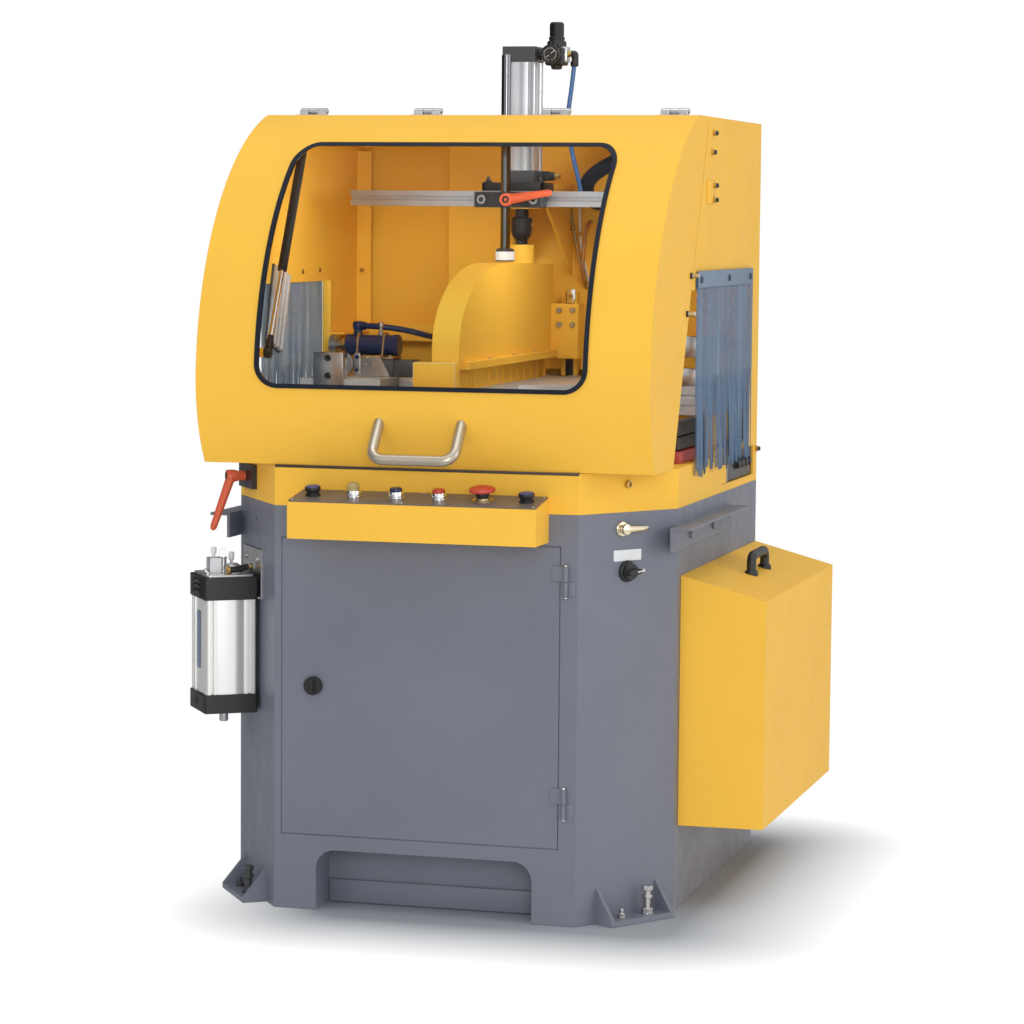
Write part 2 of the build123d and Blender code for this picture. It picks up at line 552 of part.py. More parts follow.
def hood_profile(sketch_x, inset, low_z, rear_low, rear_high, amount):
    """Side profile of the hood, moved inwards by an inset and extruded along X."""
    with BuildPart() as body:
        with BuildSketch(Plane.YZ.offset(sketch_x)):
            with BuildLine():
                top = HOOD_TOP - inset
                hood_curve(top, low_z, inset)
                Polyline(
                    hood_front(low_z, inset),
                    (at(rear_low), low_z),
                    (at(rear_high), top),
                    hood_front(top, inset),
                )
            make_face()
        extrude(amount=amount)
    return body.part


GASKET_BAND_HALF = WINDOW_HALF + 25
BAND_HIGH, BAND_LOW = 1440.0, 906.0
HINGE_LEAF = 2.5

with BuildPart() as hood_shell:
    add(
        hood_profile(
            -HALF_WIDTH, 0, HOOD_BOTTOM, SEAM_LOW_D - SEAM_GAP, SEAM_HIGH_D - SEAM_GAP, 2 * HALF_WIDTH
        )
    )
    inside = HALF_WIDTH - HOUSING_SHEET
    add(hood_profile(-inside, HOUSING_SHEET, HOOD_BOTTOM - 20, 500, 500, 2 * inside), mode=Mode.SUBTRACT)
    add(window_prism(0), mode=Mode.SUBTRACT)
    for side in (-1, 1):
        wall = side * (inside + WELD)
        collar = side * (SPRING_X + EYE_HALF + 1)
        rod_x(min(collar, wall), max(collar, wall), SPRING_LOW_D, SPRING_LOW_Z, 9)
hood_shell.part.label = "hood_shell"
export_step(hood_shell.part, "parts/hood_shell.step")

with BuildPart() as hood_window:
    add(hood_band(0, HOUSING_SHEET))
    add(window_prism(-GASKET_EDGE), mode=Mode.INTERSECT)
hood_window.part.label = "hood_window"
export_step(hood_window.part, "parts/hood_window.step")

with BuildPart() as window_gasket:
    add(hood_band(-GASKET_PROUD, HOUSING_SHEET))
    add(window_prism(GASKET_EDGE), mode=Mode.INTERSECT)
    add(window_prism(-GASKET_EDGE), mode=Mode.SUBTRACT)
    with BuildPart(mode=Mode.PRIVATE) as skin:
        add(hood_band(0, HOUSING_SHEET + 1))
        add(window_prism(0), mode=Mode.SUBTRACT)
    add(skin.part, mode=Mode.SUBTRACT)
window_gasket.part.label = "window_gasket"
export_step(window_gasket.part, "parts/window_gasket.step")

HANDLE_TOP_Z, HANDLE_LOW_Z, HANDLE_ROOT_D, HANDLE_OUT_D = 914.5, 838.0, -20.0, -84.0
with BuildPart() as hood_handle:
    with BuildLine() as handle_path:
        FilletPolyline(
            (-HANDLE_HALF, at(HANDLE_ROOT_D), HANDLE_TOP_Z),
            (-HANDLE_HALF, at(HANDLE_OUT_D), HANDLE_LOW_Z),
            (HANDLE_HALF, at(HANDLE_OUT_D), HANDLE_LOW_Z),
            (HANDLE_HALF, at(HANDLE_ROOT_D), HANDLE_TOP_Z),
            radius=24,
        )
    with BuildSketch(Plane(origin=handle_path.line @ 0, z_dir=handle_path.line % 0)):
        Circle(HANDLE_RADIUS)
    sweep()
    add(
        hood_profile(
            -HALF_WIDTH, 0, HOOD_BOTTOM, SEAM_LOW_D - SEAM_GAP, SEAM_HIGH_D - SEAM_GAP, 2 * HALF_WIDTH
        ),
        mode=Mode.SUBTRACT,
    )
hood_handle.part.label = "hood_handle"
export_step(hood_handle.part, "parts/hood_handle.step")

with BuildPart() as hood_hinge_leaves:
    for spot in HOOD_HINGE_SPOTS:
        block(spot - 26, spot + 26, HOOD_HINGE_D - 34, HOOD_HINGE_D - 3.5, HOOD_TOP, HOOD_TOP + HINGE_LEAF)
        for end in (-1, 1):
            low, high = sorted((spot + end * 9.5, spot + end * 26))
            block(low, high, HOOD_HINGE_D - 12, HOOD_HINGE_D, HOOD_TOP + HINGE_LEAF - WELD, HOOD_HINGE_Z)
            rod_x(low, high, HOOD_HINGE_D, HOOD_HINGE_Z, HOOD_HINGE_RADIUS)
            rod_x(low - 1, high + 1, HOOD_HINGE_D, HOOD_HINGE_Z, 3 + RUNNING_FIT, Mode.SUBTRACT)
        slot_front, slot_rear = HOOD_HINGE_D - 3, HOOD_HINGE_D + 40
        block(spot - 30, spot + 30, slot_front, slot_rear, HOOD_TOP - 5, HOOD_TOP + 3, Mode.SUBTRACT)
hood_hinge_leaves.part.label = "hood_hinge_leaves"
export_step(hood_hinge_leaves.part, "parts/hood_hinge_leaves.step")

with BuildPart() as hood_hinge_bases:
    for spot in HOOD_HINGE_SPOTS:
        block(spot - 26, spot + 26, HOOD_HINGE_D + 3.5, HOOD_HINGE_D + 34, HOOD_TOP, HOOD_TOP + HINGE_LEAF)
        block(spot - 9, spot + 9, HOOD_HINGE_D, HOOD_HINGE_D + 12, HOOD_TOP + HINGE_LEAF - WELD, HOOD_HINGE_Z)
        rod_x(spot - 9, spot + 9, HOOD_HINGE_D, HOOD_HINGE_Z, HOOD_HINGE_RADIUS)
        rod_x(spot - 28, spot + 28, HOOD_HINGE_D, HOOD_HINGE_Z, 3)
hood_hinge_bases.part.label = "hood_hinge_bases"
export_step(hood_hinge_bases.part, "parts/hood_hinge_bases.step")

# Gas springs: tubes hung from the housing, rods reaching down to the hood
SPRING_REACH = hypot(SPRING_TOP_D - SPRING_LOW_D, SPRING_TOP_Z - SPRING_LOW_Z)
SPRING_TUBE_START, SPRING_TUBE_END, SPRING_TUBE_RADIUS = 16.0, 300.0, 9.0
SPRING_ROD_START, SPRING_ROD_RADIUS, EYE_RADIUS = 96.0, 5.0, 10.0


def spring_plane(side, reach):
    """Plane across a gas spring, a distance below its upper pivot."""
    down = (0, (SPRING_LOW_D - SPRING_TOP_D) / SPRING_REACH, (SPRING_LOW_Z - SPRING_TOP_Z) / SPRING_REACH)
    origin = (side * SPRING_X, at(SPRING_TOP_D) + down[1] * reach, SPRING_TOP_Z + down[2] * reach)
    return Plane(origin=origin, x_dir=(1, 0, 0), z_dir=down)


with BuildPart() as gas_spring_tubes:
    for side in (-1, 1):
        middle = side * SPRING_X
        rod_x(middle - EYE_HALF, middle + EYE_HALF, SPRING_TOP_D, SPRING_TOP_Z, EYE_RADIUS)
        with BuildSketch(spring_plane(side, 4)):
            Circle(6)
        extrude(amount=20)
        with BuildSketch(spring_plane(side, SPRING_TUBE_START)):
            Circle(SPRING_TUBE_RADIUS)
        extrude(amount=SPRING_TUBE_END - SPRING_TUBE_START)
        with BuildSketch(spring_plane(side, SPRING_TUBE_START + 40)):
            Circle(SPRING_ROD_RADIUS + CLAMP_FIT)
        extrude(amount=SPRING_TUBE_END, mode=Mode.SUBTRACT)
        rod_x(middle - 20, middle + 20, SPRING_TOP_D, SPRING_TOP_Z, 5 + RUNNING_FIT, Mode.SUBTRACT)
gas_spring_tubes.part.label = "gas_spring_tubes"
export_step(gas_spring_tubes.part, "parts/gas_spring_tubes.step")

with BuildPart() as gas_spring_rods:
    for side in (-1, 1):
        middle = side * SPRING_X
        with BuildSketch(spring_plane(side, SPRING_ROD_START)):
            Circle(SPRING_ROD_RADIUS)
        extrude(amount=SPRING_REACH - SPRING_ROD_START - 4)
        rod_x(middle - EYE_HALF, middle + EYE_HALF, SPRING_LOW_D, SPRING_LOW_Z, EYE_RADIUS)
gas_spring_rods.part.label = "gas_spring_rods"
export_step(gas_spring_rods.part, "parts/gas_spring_rods.step")

# Clamp cylinder, piston rod, regulator and hoses
FLANGE_HALF, PISTON_RADIUS, PISTON_LOW, JOINT_RADIUS = 42.0, 10.0, 1410.0, 18.0
JOINT_LOW, JOINT_HIGH, LUG_HIGH, LUG_RADIUS = 1216.0, 1288.0, 1215.6, 25.0

with BuildPart() as cylinder_caps:
    block(-FLANGE_HALF, FLANGE_HALF, AXIS_D - FLANGE_HALF, AXIS_D + FLANGE_HALF, BRACKET_HIGH, CYLINDER_LOW)
    for low in (CYLINDER_LOW, CYLINDER_HIGH - CAP_HEIGHT):
        block(
            -CYLINDER_HALF, CYLINDER_HALF, AXIS_D - CYLINDER_HALF, AXIS_D + CYLINDER_HALF, low, low + CAP_HEIGHT
        )
    rod_z(0, AXIS_D, BRACKET_HIGH - 1, CYLINDER_LOW + CAP_HEIGHT + 1, PISTON_RADIUS + RUNNING_FIT, Mode.SUBTRACT)
cylinder_caps.part.label = "cylinder_caps"
export_step(cylinder_caps.part, "parts/cylinder_caps.step")

with BuildPart() as cylinder_tube:
    low, high = CYLINDER_LOW + CAP_HEIGHT, CYLINDER_HIGH - CAP_HEIGHT
    edge = CYLINDER_HALF - 1.5
    block(-edge, edge, AXIS_D - edge, AXIS_D + edge, low, high)
    rod_z(0, AXIS_D, low - 1, high + 1, 25, Mode.SUBTRACT)
    for turn in range(4):
        for offset_along in (-14, 14):
            angle = radians(90 * turn)
            x = cos(angle) * edge - sin(angle) * offset_along
            y = sin(angle) * edge + cos(angle) * offset_along
            block(x - 3, x + 3, AXIS_D + y - 3, AXIS_D + y + 3, low - 1, high + 1, Mode.SUBTRACT)
cylinder_tube.part.label = "cylinder_tube"
export_step(cylinder_tube.part, "parts/cylinder_tube.step")

with BuildPart() as piston_rod:
    rod_z(0, AXIS_D, JOINT_HIGH - 1, PISTON_LOW + 10, PISTON_RADIUS)
    rod_z(0, AXIS_D, PISTON_LOW, PISTON_LOW + 14, 25 - RUNNING_FIT)
    rod_z(0, AXIS_D, JOINT_LOW + 14, JOINT_HIGH - 22, JOINT_RADIUS)
    rod_z(0, AXIS_D, JOINT_HIGH - 22, JOINT_HIGH, JOINT_RADIUS - 5)
    rod_z(0, AXIS_D, JOINT_LOW + 5, JOINT_LOW + 14, JOINT_RADIUS - 6)
    with BuildSketch(Plane.XY.offset(JOINT_LOW)):
        with Locations((0, at(AXIS_D))):
            RegularPolygon(JOINT_RADIUS - 1, 6)
    extrude(amount=6)
piston_rod.part.label = "piston_rod"
export_step(piston_rod.part, "parts/piston_rod.step")

REGULATOR_X, REGULATOR_LOW, REGULATOR_HIGH, REGULATOR_RADIUS = 68.0, 1566.0, 1616.0, 20.0
with BuildPart() as regulator:
    rod_z(REGULATOR_X, AXIS_D, REGULATOR_LOW, REGULATOR_HIGH, REGULATOR_RADIUS)
    rod_x(CYLINDER_HALF, REGULATOR_X, AXIS_D, 1588, 8)
    rod_x(REGULATOR_X, REGULATOR_X + 38, AXIS_D, 1588, 8)
    rod_z(REGULATOR_X + 36, AXIS_D, 1572, 1596, 9)
    rod_y(REGULATOR_X - 14, AXIS_D - 30, AXIS_D, 1584, 6)
    rod_y(REGULATOR_X - 14, AXIS_D - 44, AXIS_D - 30, 1584, 16.5)
    rod_x(CYLINDER_HALF, CYLINDER_HALF + 26, AXIS_D, 1356, 8)
    rod_z(CYLINDER_HALF + 26, AXIS_D, 1346, 1368, 9)
regulator.part.label = "regulator"
export_step(regulator.part, "parts/regulator.step")

with BuildPart() as regulator_knob:
    rod_z(REGULATOR_X, AXIS_D, REGULATOR_HIGH + 0.4, REGULATOR_HIGH + 34, 13)
    rod_z(REGULATOR_X, AXIS_D, REGULATOR_HIGH + 0.4, REGULATOR_HIGH + 6, 16)
    top_edges = regulator_knob.edges().sort_by(Axis.Z)[-1]
    fillet(top_edges, 3)
regulator_knob.part.label = "regulator_knob"
export_step(regulator_knob.part, "parts/regulator_knob.step")

HOSE_RADIUS, CONDUIT_RADIUS, LINE_RADIUS, VISE_HOSE_RADIUS = 4.5, 15.0, 4.0, 6.0
HOSE_ROUTES = (
    (
        HOSE_RADIUS,
        25,
        ((104, 640, 1571.5), (100, 640, 1530), (90, 640, 1462), (100, 641, 1398), (116, 648, 1332),
         (116, 660, 1300), (51.8, 666, 1300)),
    ),
    (
        CONDUIT_RADIUS,
        40,
        ((214, 700, 1456.5), (214, 700, 1400), (112, 700, 1350), (108, 745, 1300), (108, 849.5, 1300)),
    ),
    (LINE_RADIUS, 14, ((88, 849.5, 1262), (88, 806, 1262), (80, 806, 1140), (80, 849.5, 1140))),
    (VISE_HOSE_RADIUS, 45, ((-328.5, 640, 1050), (-262, 640, 1050), (-170, 700, 1020), (-170, 849.5, 1020))),
)
with BuildPart() as air_hoses:
    for radius, bend, route in HOSE_ROUTES:
        with BuildLine() as hose_path:
            FilletPolyline(*[(x, at(depth), z) for x, depth, z in route], radius=bend)
        with BuildSketch(Plane(origin=hose_path.line @ 0, z_dir=hose_path.line % 0)):
            Circle(radius)
        sweep(path=hose_path.line)
        run = sum(edge.length for edge in hose_path.line.edges())
        print("hose radius", radius, "length", round(run, 1), "section volume", round(pi * radius**2 * run))
air_hoses.part.label = "air_hoses"
print("hose volume in all", round(air_hoses.part.volume))
export_step(air_hoses.part, "parts/air_hoses.step")

# T-slot rail, rod clamp and stop rod
BLOCK_LEFT, BLOCK_RIGHT, BLOCK_FRONT, BLOCK_LOW, BLOCK_HIGH = -57.0, 75.0, 500.0, 1288.0, 1318.0
RAIL_FRONT = BRACKET_FRONT - RAIL_SIZE
with BuildPart() as tslot_rail:
    block(-RAIL_HALF, RAIL_HALF, RAIL_FRONT, BRACKET_FRONT, RAIL_LOW, RAIL_LOW + RAIL_SIZE)
    middle = RAIL_LOW + RAIL_SIZE / 2
    centre = RAIL_FRONT + RAIL_SIZE / 2
    long = RAIL_HALF + 1
    for face in (RAIL_FRONT, BRACKET_FRONT):
        block(-long, long, face - 9, face + 9, middle - 4, middle + 4, Mode.SUBTRACT)
    for face in (RAIL_LOW, RAIL_LOW + RAIL_SIZE):
        block(-long, long, centre - 4, centre + 4, face - 9, face + 9, Mode.SUBTRACT)
tslot_rail.part.label = "tslot_rail"
export_step(tslot_rail.part, "parts/tslot_rail.step")

with BuildPart() as rod_clamp_block:
    block(BLOCK_LEFT, BLOCK_RIGHT, BLOCK_FRONT, RAIL_FRONT, BLOCK_LOW, BLOCK_HIGH)
    rod_z(0, STOP_D, BLOCK_LOW - 1, BLOCK_HIGH + 1, STOP_RADIUS + CLAMP_FIT, Mode.SUBTRACT)
    for spot in (-42, 62):
        rod_y(spot, BLOCK_FRONT - 5, BLOCK_FRONT + 1, 1303, 7)
rod_clamp_block.part.label = "rod_clamp_block"
export_step(rod_clamp_block.part, "parts/rod_clamp_block.step")

LEVER_X, LEVER_Z, LEVER_LENGTH, LEVER_RISE = 14.0, 1303.0, 88.0, 14.0
with BuildPart() as clamp_lever:
    rod_y(LEVER_X, BLOCK_FRONT - 30, BLOCK_FRONT - 0.3, LEVER_Z, 13)
    with BuildSketch(Plane.XZ.offset(-at(BLOCK_FRONT - 18))):
        with Locations((LEVER_X, LEVER_Z), (LEVER_X + LEVER_LENGTH, LEVER_Z + LEVER_RISE)):
            Circle(9)
        make_hull()
    extrude(amount=12)
clamp_lever.part.label = "clamp_lever"
export_step(clamp_lever.part, "parts/clamp_lever.step")

with BuildPart() as stop_rod:
    rod_z(0, STOP_D, STOP_LOW, STOP_HIGH, STOP_RADIUS)
    rod_z(0, STOP_D, STOP_LOW, STOP_LOW + 21, 18)
    chamfer(stop_rod.edges().filter_by(GeomType.CIRCLE).sort_by(Axis.Z)[-1], 2)
stop_rod.part.label = "stop_rod"
export_step(stop_rod.part, "parts/stop_rod.step")

# Vise on the left table
VISE_D, VISE_Z, VISE_RADIUS = 640.0, 1012.0, 22.0
with BuildPart() as vise_body:
    block(-334, -256, VISE_D - 26, VISE_D + 26, TABLE_TOP, 986)
    rod_x(-361, -250, VISE_D, VISE_Z, VISE_RADIUS)
    for spot in (-330, -276):
        block(spot - 5, spot + 5, VISE_D - 28, VISE_D + 28, 985, VISE_Z + 28)
    rod_z(-338, VISE_D, VISE_Z + 15, 1060, 9)
    rod_x(-362, -330, VISE_D, VISE_Z, 8 + RUNNING_FIT, Mode.SUBTRACT)
vise_body.part.label = "vise_body"
export_step(vise_body.part, "parts/vise_body.step")

with BuildPart() as vise_rod:
    rod_x(-390, -332, VISE_D, VISE_Z, 8)
    rod_x(-394, -380, VISE_D, VISE_Z, 20)
vise_rod.part.label = "vise_rod"
export_step(vise_rod.part, "parts/vise_rod.step")

# Blade guard with lug, lip and rear carriage
RAIL_POST_LEFT, RAIL_POST_RIGHT, RAIL_POST_D, RAIL_POST_REAR = 40.0, 70.0, 806.0, 830.0
RAIL_POST_TOP = 1120.0
CARRIAGE_LEFT, CARRIAGE_RIGHT, CARRIAGE_LOW, CARRIAGE_HIGH = 25.0, 82.0, 986.0, 1097.0


def guard_profile(inset, half):
    """Solid of the guard's side outline, moved inwards by an inset."""
    with BuildPart() as body:
        with BuildSketch(Plane.YZ.offset(-half)):
            with BuildLine():
                low = GUARD_LOW - (1 if inset else 0)
                wide = GUARD_NOSE_D - GUARD_FRONT - inset
                high = GUARD_HIGH - GUARD_NOSE_Z - inset
                EllipticalCenterArc((at(GUARD_NOSE_D), GUARD_NOSE_Z), wide, high, start_angle=90, arc_size=90)
                Polyline(
                    (at(GUARD_FRONT + inset), GUARD_NOSE_Z),
                    (at(GUARD_FRONT + inset), low),
                    (at(GUARD_REAR - inset), low),
                    (at(GUARD_REAR - inset), GUARD_REAR_HIGH - inset),
                    (at(GUARD_NOSE_D), GUARD_HIGH - inset),
                )
            make_face()
        extrude(amount=2 * half)
    return body.part


with BuildPart() as blade_guard:
    add(guard_profile(0, GUARD_HALF))
    add(guard_profile(GUARD_WALL, GUARD_HALF - GUARD_WALL), mode=Mode.SUBTRACT)
    block(GUARD_HALF - WELD, GUARD_HALF + 14, 145, 784, GUARD_LOW, GUARD_LOW + 9)
    rod_z(0, AXIS_D, GUARD_REAR_HIGH - 4, LUG_HIGH, LUG_RADIUS)
    block(CARRIAGE_LEFT, CARRIAGE_RIGHT, GUARD_REAR - 8, RAIL_POST_D - 0.5, CARRIAGE_LOW, CARRIAGE_HIGH)
    block(CARRIAGE_LEFT + 2, RAIL_POST_LEFT - 0.4, RAIL_POST_D - 1, 824, CARRIAGE_LOW, CARRIAGE_HIGH)
    block(RAIL_POST_RIGHT + 0.4, CARRIAGE_RIGHT, RAIL_POST_D - 1, 824, CARRIAGE_LOW, CARRIAGE_HIGH)
    for x in (38, 70):
        for z in (1004, 1078):
            rod_y(x, GUARD_REAR - 12, GUARD_REAR - 7, z, 5.5)
blade_guard.part.label = "blade_guard"
export_step(blade_guard.part, "parts/blade_guard.step")

# Turntable with tongue, spigot, arm hangers and guide post
HANGER_INNER, HANGER_OUTER = 58.0, 70.0
TABLE_LOW = TABLE_TOP - TABLE_THICK
with BuildPart() as turntable:
    rod_z(0, AXIS_D, TABLE_LOW, TABLE_TOP, DISC_RADIUS)
    block(-TONGUE_HALF, TONGUE_HALF, TONGUE_FRONT, AXIS_D - 150, TONGUE_LOW, TABLE_TOP)
    with BuildSketch(Plane.XY.offset(TABLE_LOW - 33)):
        with Locations((0, at(AXIS_D))):
            Circle(BEARING_INNER - SPIGOT_FIT)
            Circle(SPIGOT_INNER, mode=Mode.SUBTRACT)
    extrude(amount=34)
    block(-32, 32, AXIS_D - 260, AXIS_D, TABLE_LOW - 40, TABLE_LOW, Mode.SUBTRACT)
    block(-SLOT_HALF, SLOT_HALF, SLOT_FRONT, SLOT_REAR, TABLE_LOW - 1, TABLE_TOP + 1, Mode.SUBTRACT)
    for side in (-1, 1):
        near, far = side * HANGER_INNER, side * HANGER_OUTER
        block(min(near, far), max(near, far), 742, 816, 600, TABLE_LOW + WELD)
    rod_x(-HANGER_OUTER, HANGER_OUTER, PIVOT_D, PIVOT_Z, PIVOT_RADIUS)
    block(FEED_X - 40, FEED_X - 24, FEED_TOP_D - 16, FEED_TOP_D + 16, FEED_TOP_Z - 16, TABLE_LOW + WELD)
    rod_x(FEED_X - 28, FEED_X + 14, FEED_TOP_D, FEED_TOP_Z, 7)
    block(RAIL_POST_LEFT, RAIL_POST_RIGHT, RAIL_POST_D, RAIL_POST_REAR, TABLE_TOP - WELD, RAIL_POST_TOP)
    block(-53, 27, 92, 120, TABLE_TOP - WELD, 1004)
turntable.part.label = "turntable"
export_step(turntable.part, "parts/turntable.step")

# Saw arm, spindle, blade, motor and belt
PIVOT_BOSS = 32.0
with BuildPart() as saw_arm:
    with BuildSketch(Plane.YZ.offset(ARM_LEFT)):
        with Locations((at(PIVOT_D), PIVOT_Z)):
            Circle(40)
        with Locations((at(SPINDLE_D), SPINDLE_Z)):
            Circle(44)
        with Locations((at(MOTOR_D), MOTOR_Z)):
            Circle(62)
        make_hull()
    extrude(amount=ARM_RIGHT - ARM_LEFT)
    rod_x(-HANGER_INNER + 0.4, HANGER_INNER - 0.4, PIVOT_D, PIVOT_Z, PIVOT_BOSS)
    rod_x(-HANGER_OUTER, HANGER_OUTER, PIVOT_D, PIVOT_Z, PIVOT_RADIUS + RUNNING_FIT, Mode.SUBTRACT)
    rod_x(ARM_LEFT - 1, ARM_RIGHT + 1, SPINDLE_D, SPINDLE_Z, SPINDLE_RADIUS + RUNNING_FIT, Mode.SUBTRACT)
    rod_x(ARM_LEFT - 1, ARM_RIGHT + 1, MOTOR_D, MOTOR_Z, 16, Mode.SUBTRACT)
    rod_x(ARM_RIGHT - 1, FEED_X - 9.5, FEED_PIN_D, FEED_PIN_Z, 8)
saw_arm.part.label = "saw_arm"
export_step(saw_arm.part, "parts/saw_arm.step")

with BuildPart() as spindle:
    rod_x(-14, PULLEY_RIGHT + 4, SPINDLE_D, SPINDLE_Z, SPINDLE_RADIUS)
    rod_x(BLADE_THICK / 2, ARM_LEFT - 0.4, SPINDLE_D, SPINDLE_Z, 45)
    rod_x(-11, -BLADE_THICK / 2, SPINDLE_D, SPINDLE_Z, 45)
    rod_x(PULLEY_LEFT, PULLEY_RIGHT, SPINDLE_D, SPINDLE_Z, PULLEY_RADIUS)
spindle.part.label = "spindle"
export_step(spindle.part, "parts/spindle.step")

with BuildPart() as saw_blade:
    with BuildSketch(Plane.YZ.offset(-BLADE_THICK / 2)):
        with Locations((at(SPINDLE_D), SPINDLE_Z)):
            Circle(BLADE_RADIUS)
            with PolarLocations(BLADE_RADIUS, BLADE_TEETH):
                Polygon((3, 2), (3, -7), (-9, 2), align=None, mode=Mode.SUBTRACT)
            Circle(SPINDLE_RADIUS, mode=Mode.SUBTRACT)
    extrude(amount=BLADE_THICK)
saw_blade.part.label = "saw_blade"
export_step(saw_blade.part, "parts/saw_blade.step")

MOTOR_LEFT = -200.0
with BuildPart() as motor:
    rod_x(MOTOR_LEFT + 30, ARM_LEFT - 14, MOTOR_D, MOTOR_Z, MOTOR_RADIUS)
    rod_x(MOTOR_LEFT, MOTOR_LEFT + 31, MOTOR_D, MOTOR_Z, MOTOR_RADIUS - 6)
    rod_x(ARM_LEFT - 15, ARM_LEFT, MOTOR_D, MOTOR_Z, 60)
    block(-130, -50, MOTOR_D + 30, MOTOR_D + MOTOR_RADIUS + 26, MOTOR_Z - 40, MOTOR_Z + 40)
    for fin in range(11):
        middle = MOTOR_LEFT + 44 + fin * 12
        with BuildSketch(Plane.YZ.offset(middle)):
            with Locations((at(MOTOR_D), MOTOR_Z)):
                Circle(MOTOR_RADIUS + 4)
                Circle(MOTOR_RADIUS - 4, mode=Mode.SUBTRACT)
        extrude(amount=4)
motor.part.label = "motor"
export_step(motor.part, "parts/motor.step")

with BuildPart() as motor_pulley:
    rod_x(ARM_LEFT + 0.4, PULLEY_RIGHT + 4, MOTOR_D, MOTOR_Z, 12)
    rod_x(PULLEY_LEFT, PULLEY_RIGHT, MOTOR_D, MOTOR_Z, PULLEY_RADIUS)
motor_pulley.part.label = "motor_pulley"
export_step(motor_pulley.part, "parts/motor_pulley.step")

with BuildPart() as drive_belt:
    belt_inside = PULLEY_RADIUS + BELT_CLEAR
    for radius, mode in ((belt_inside + BELT_THICK, Mode.ADD), (belt_inside, Mode.SUBTRACT)):
        with BuildSketch(Plane.YZ.offset(PULLEY_LEFT + 2)):
            with Locations((at(SPINDLE_D), SPINDLE_Z), (at(MOTOR_D), MOTOR_Z)):
                Circle(radius)
            make_hull()
        extrude(amount=PULLEY_RIGHT - PULLEY_LEFT - 4, mode=mode)
drive_belt.part.label = "drive_belt"
export_step(drive_belt.part, "parts/drive_belt.step")

# Feed cylinder hung from the turntable, its rod pulling the arm
FEED_REACH = hypot(FEED_TOP_D - FEED_PIN_D, FEED_TOP_Z - FEED_PIN_Z)
FEED_DOWN = (0, (FEED_PIN_D - FEED_TOP_D) / FEED_REACH, (FEED_PIN_Z - FEED_TOP_Z) / FEED_REACH)
FEED_BODY_END, FEED_ROD_START = 102.0, 94.0


def feed_plane(reach):
    """Plane across the feed cylinder, a distance below its pivot."""
    origin = (FEED_X, at(FEED_TOP_D) + FEED_DOWN[1] * reach, FEED_TOP_Z + FEED_DOWN[2] * reach)
    return Plane(origin=origin, x_dir=(1, 0, 0), z_dir=FEED_DOWN)


with BuildPart() as feed_cylinder:
    rod_x(FEED_X - 12, FEED_X + 12, FEED_TOP_D, FEED_TOP_Z, 13)
    with BuildSketch(feed_plane(6)):
        Circle(20)
    extrude(amount=FEED_BODY_END - 6)
    rod_x(FEED_X - 30, FEED_X + 30, FEED_TOP_D, FEED_TOP_Z, 7 + RUNNING_FIT, Mode.SUBTRACT)
    with BuildSketch(feed_plane(14)):
        Circle(8 + CLAMP_FIT)
    extrude(amount=FEED_BODY_END, mode=Mode.SUBTRACT)
feed_cylinder.part.label = "feed_cylinder"
export_step(feed_cylinder.part, "parts/feed_cylinder.step")

with BuildPart() as feed_rod:
    with BuildSketch(feed_plane(FEED_ROD_START)):
        Circle(8)
    extrude(amount=FEED_REACH - FEED_ROD_START - 6)
    rod_x(FEED_X - 5, FEED_X + 11, FEED_PIN_D, FEED_PIN_Z, 14)
feed_rod.part.label = "feed_rod"
export_step(feed_rod.part, "parts/feed_rod.step")

# Control box with its sloping plate and operators
PANEL_TILT = atan2(BOX_REAR_TOP - BOX_FRONT_TOP, -BOX_FRONT)
PANEL_MIDDLE_Z = (BOX_FRONT_TOP + BOX_REAR_TOP) / 2
PLATE_THICK = 2.5
OPERATOR_HOLE = 11.3


def panel_plane(x, above):
    """Plane parallel to the control plate's underside, a height above it, at an operator."""
    normal = (0, -sin(PANEL_TILT), cos(PANEL_TILT))
    origin = (x, at(OPERATOR_D) + normal[1] * above, PANEL_MIDDLE_Z + normal[2] * above)
    return Plane(origin=origin, x_dir=(1, 0, 0), z_dir=normal)


def stack(x, rings):
    """Round operator from (low, high, radius) stages above the control plate's underside."""
    with BuildPart() as operator:
        for low, high, radius in rings:
            with BuildSketch(panel_plane(x, low)):
                Circle(radius)
            extrude(amount=high - low)
    return operator.part


box_corners = [(0, BOX_LOW), (0, BOX_REAR_TOP), (BOX_FRONT, BOX_FRONT_TOP), (BOX_FRONT, BOX_LOW)]
box_hollow = [
    (-BOX_SHEET, BOX_LOW + BOX_SHEET),
    (-BOX_SHEET, BOX_REAR_TOP + 20),
    (BOX_FRONT + BOX_SHEET, BOX_REAR_TOP + 20),
    (BOX_FRONT + BOX_SHEET, BOX_LOW + BOX_SHEET),
]
with BuildPart() as control_box:
    add(side_plate(box_corners, -BOX_HALF, BOX_HALF))
    add(side_plate(box_hollow, -BOX_HALF + BOX_SHEET, BOX_HALF - BOX_SHEET), mode=Mode.SUBTRACT)
control_box.part.label = "control_box"
export_step(control_box.part, "parts/control_box.step")

with BuildPart() as control_plate:
    with BuildSketch(panel_plane(0, 0)):
        RectangleRounded(2 * BOX_HALF - 2, -BOX_FRONT - 2, 4)
    extrude(amount=PLATE_THICK)
    for spot in OPERATOR_SPOTS:
        with BuildSketch(panel_plane(spot, -5)):
            Circle(OPERATOR_HOLE)
        extrude(amount=20, mode=Mode.SUBTRACT)
control_plate.part.label = "control_plate"
export_step(control_plate.part, "parts/control_plate.step")

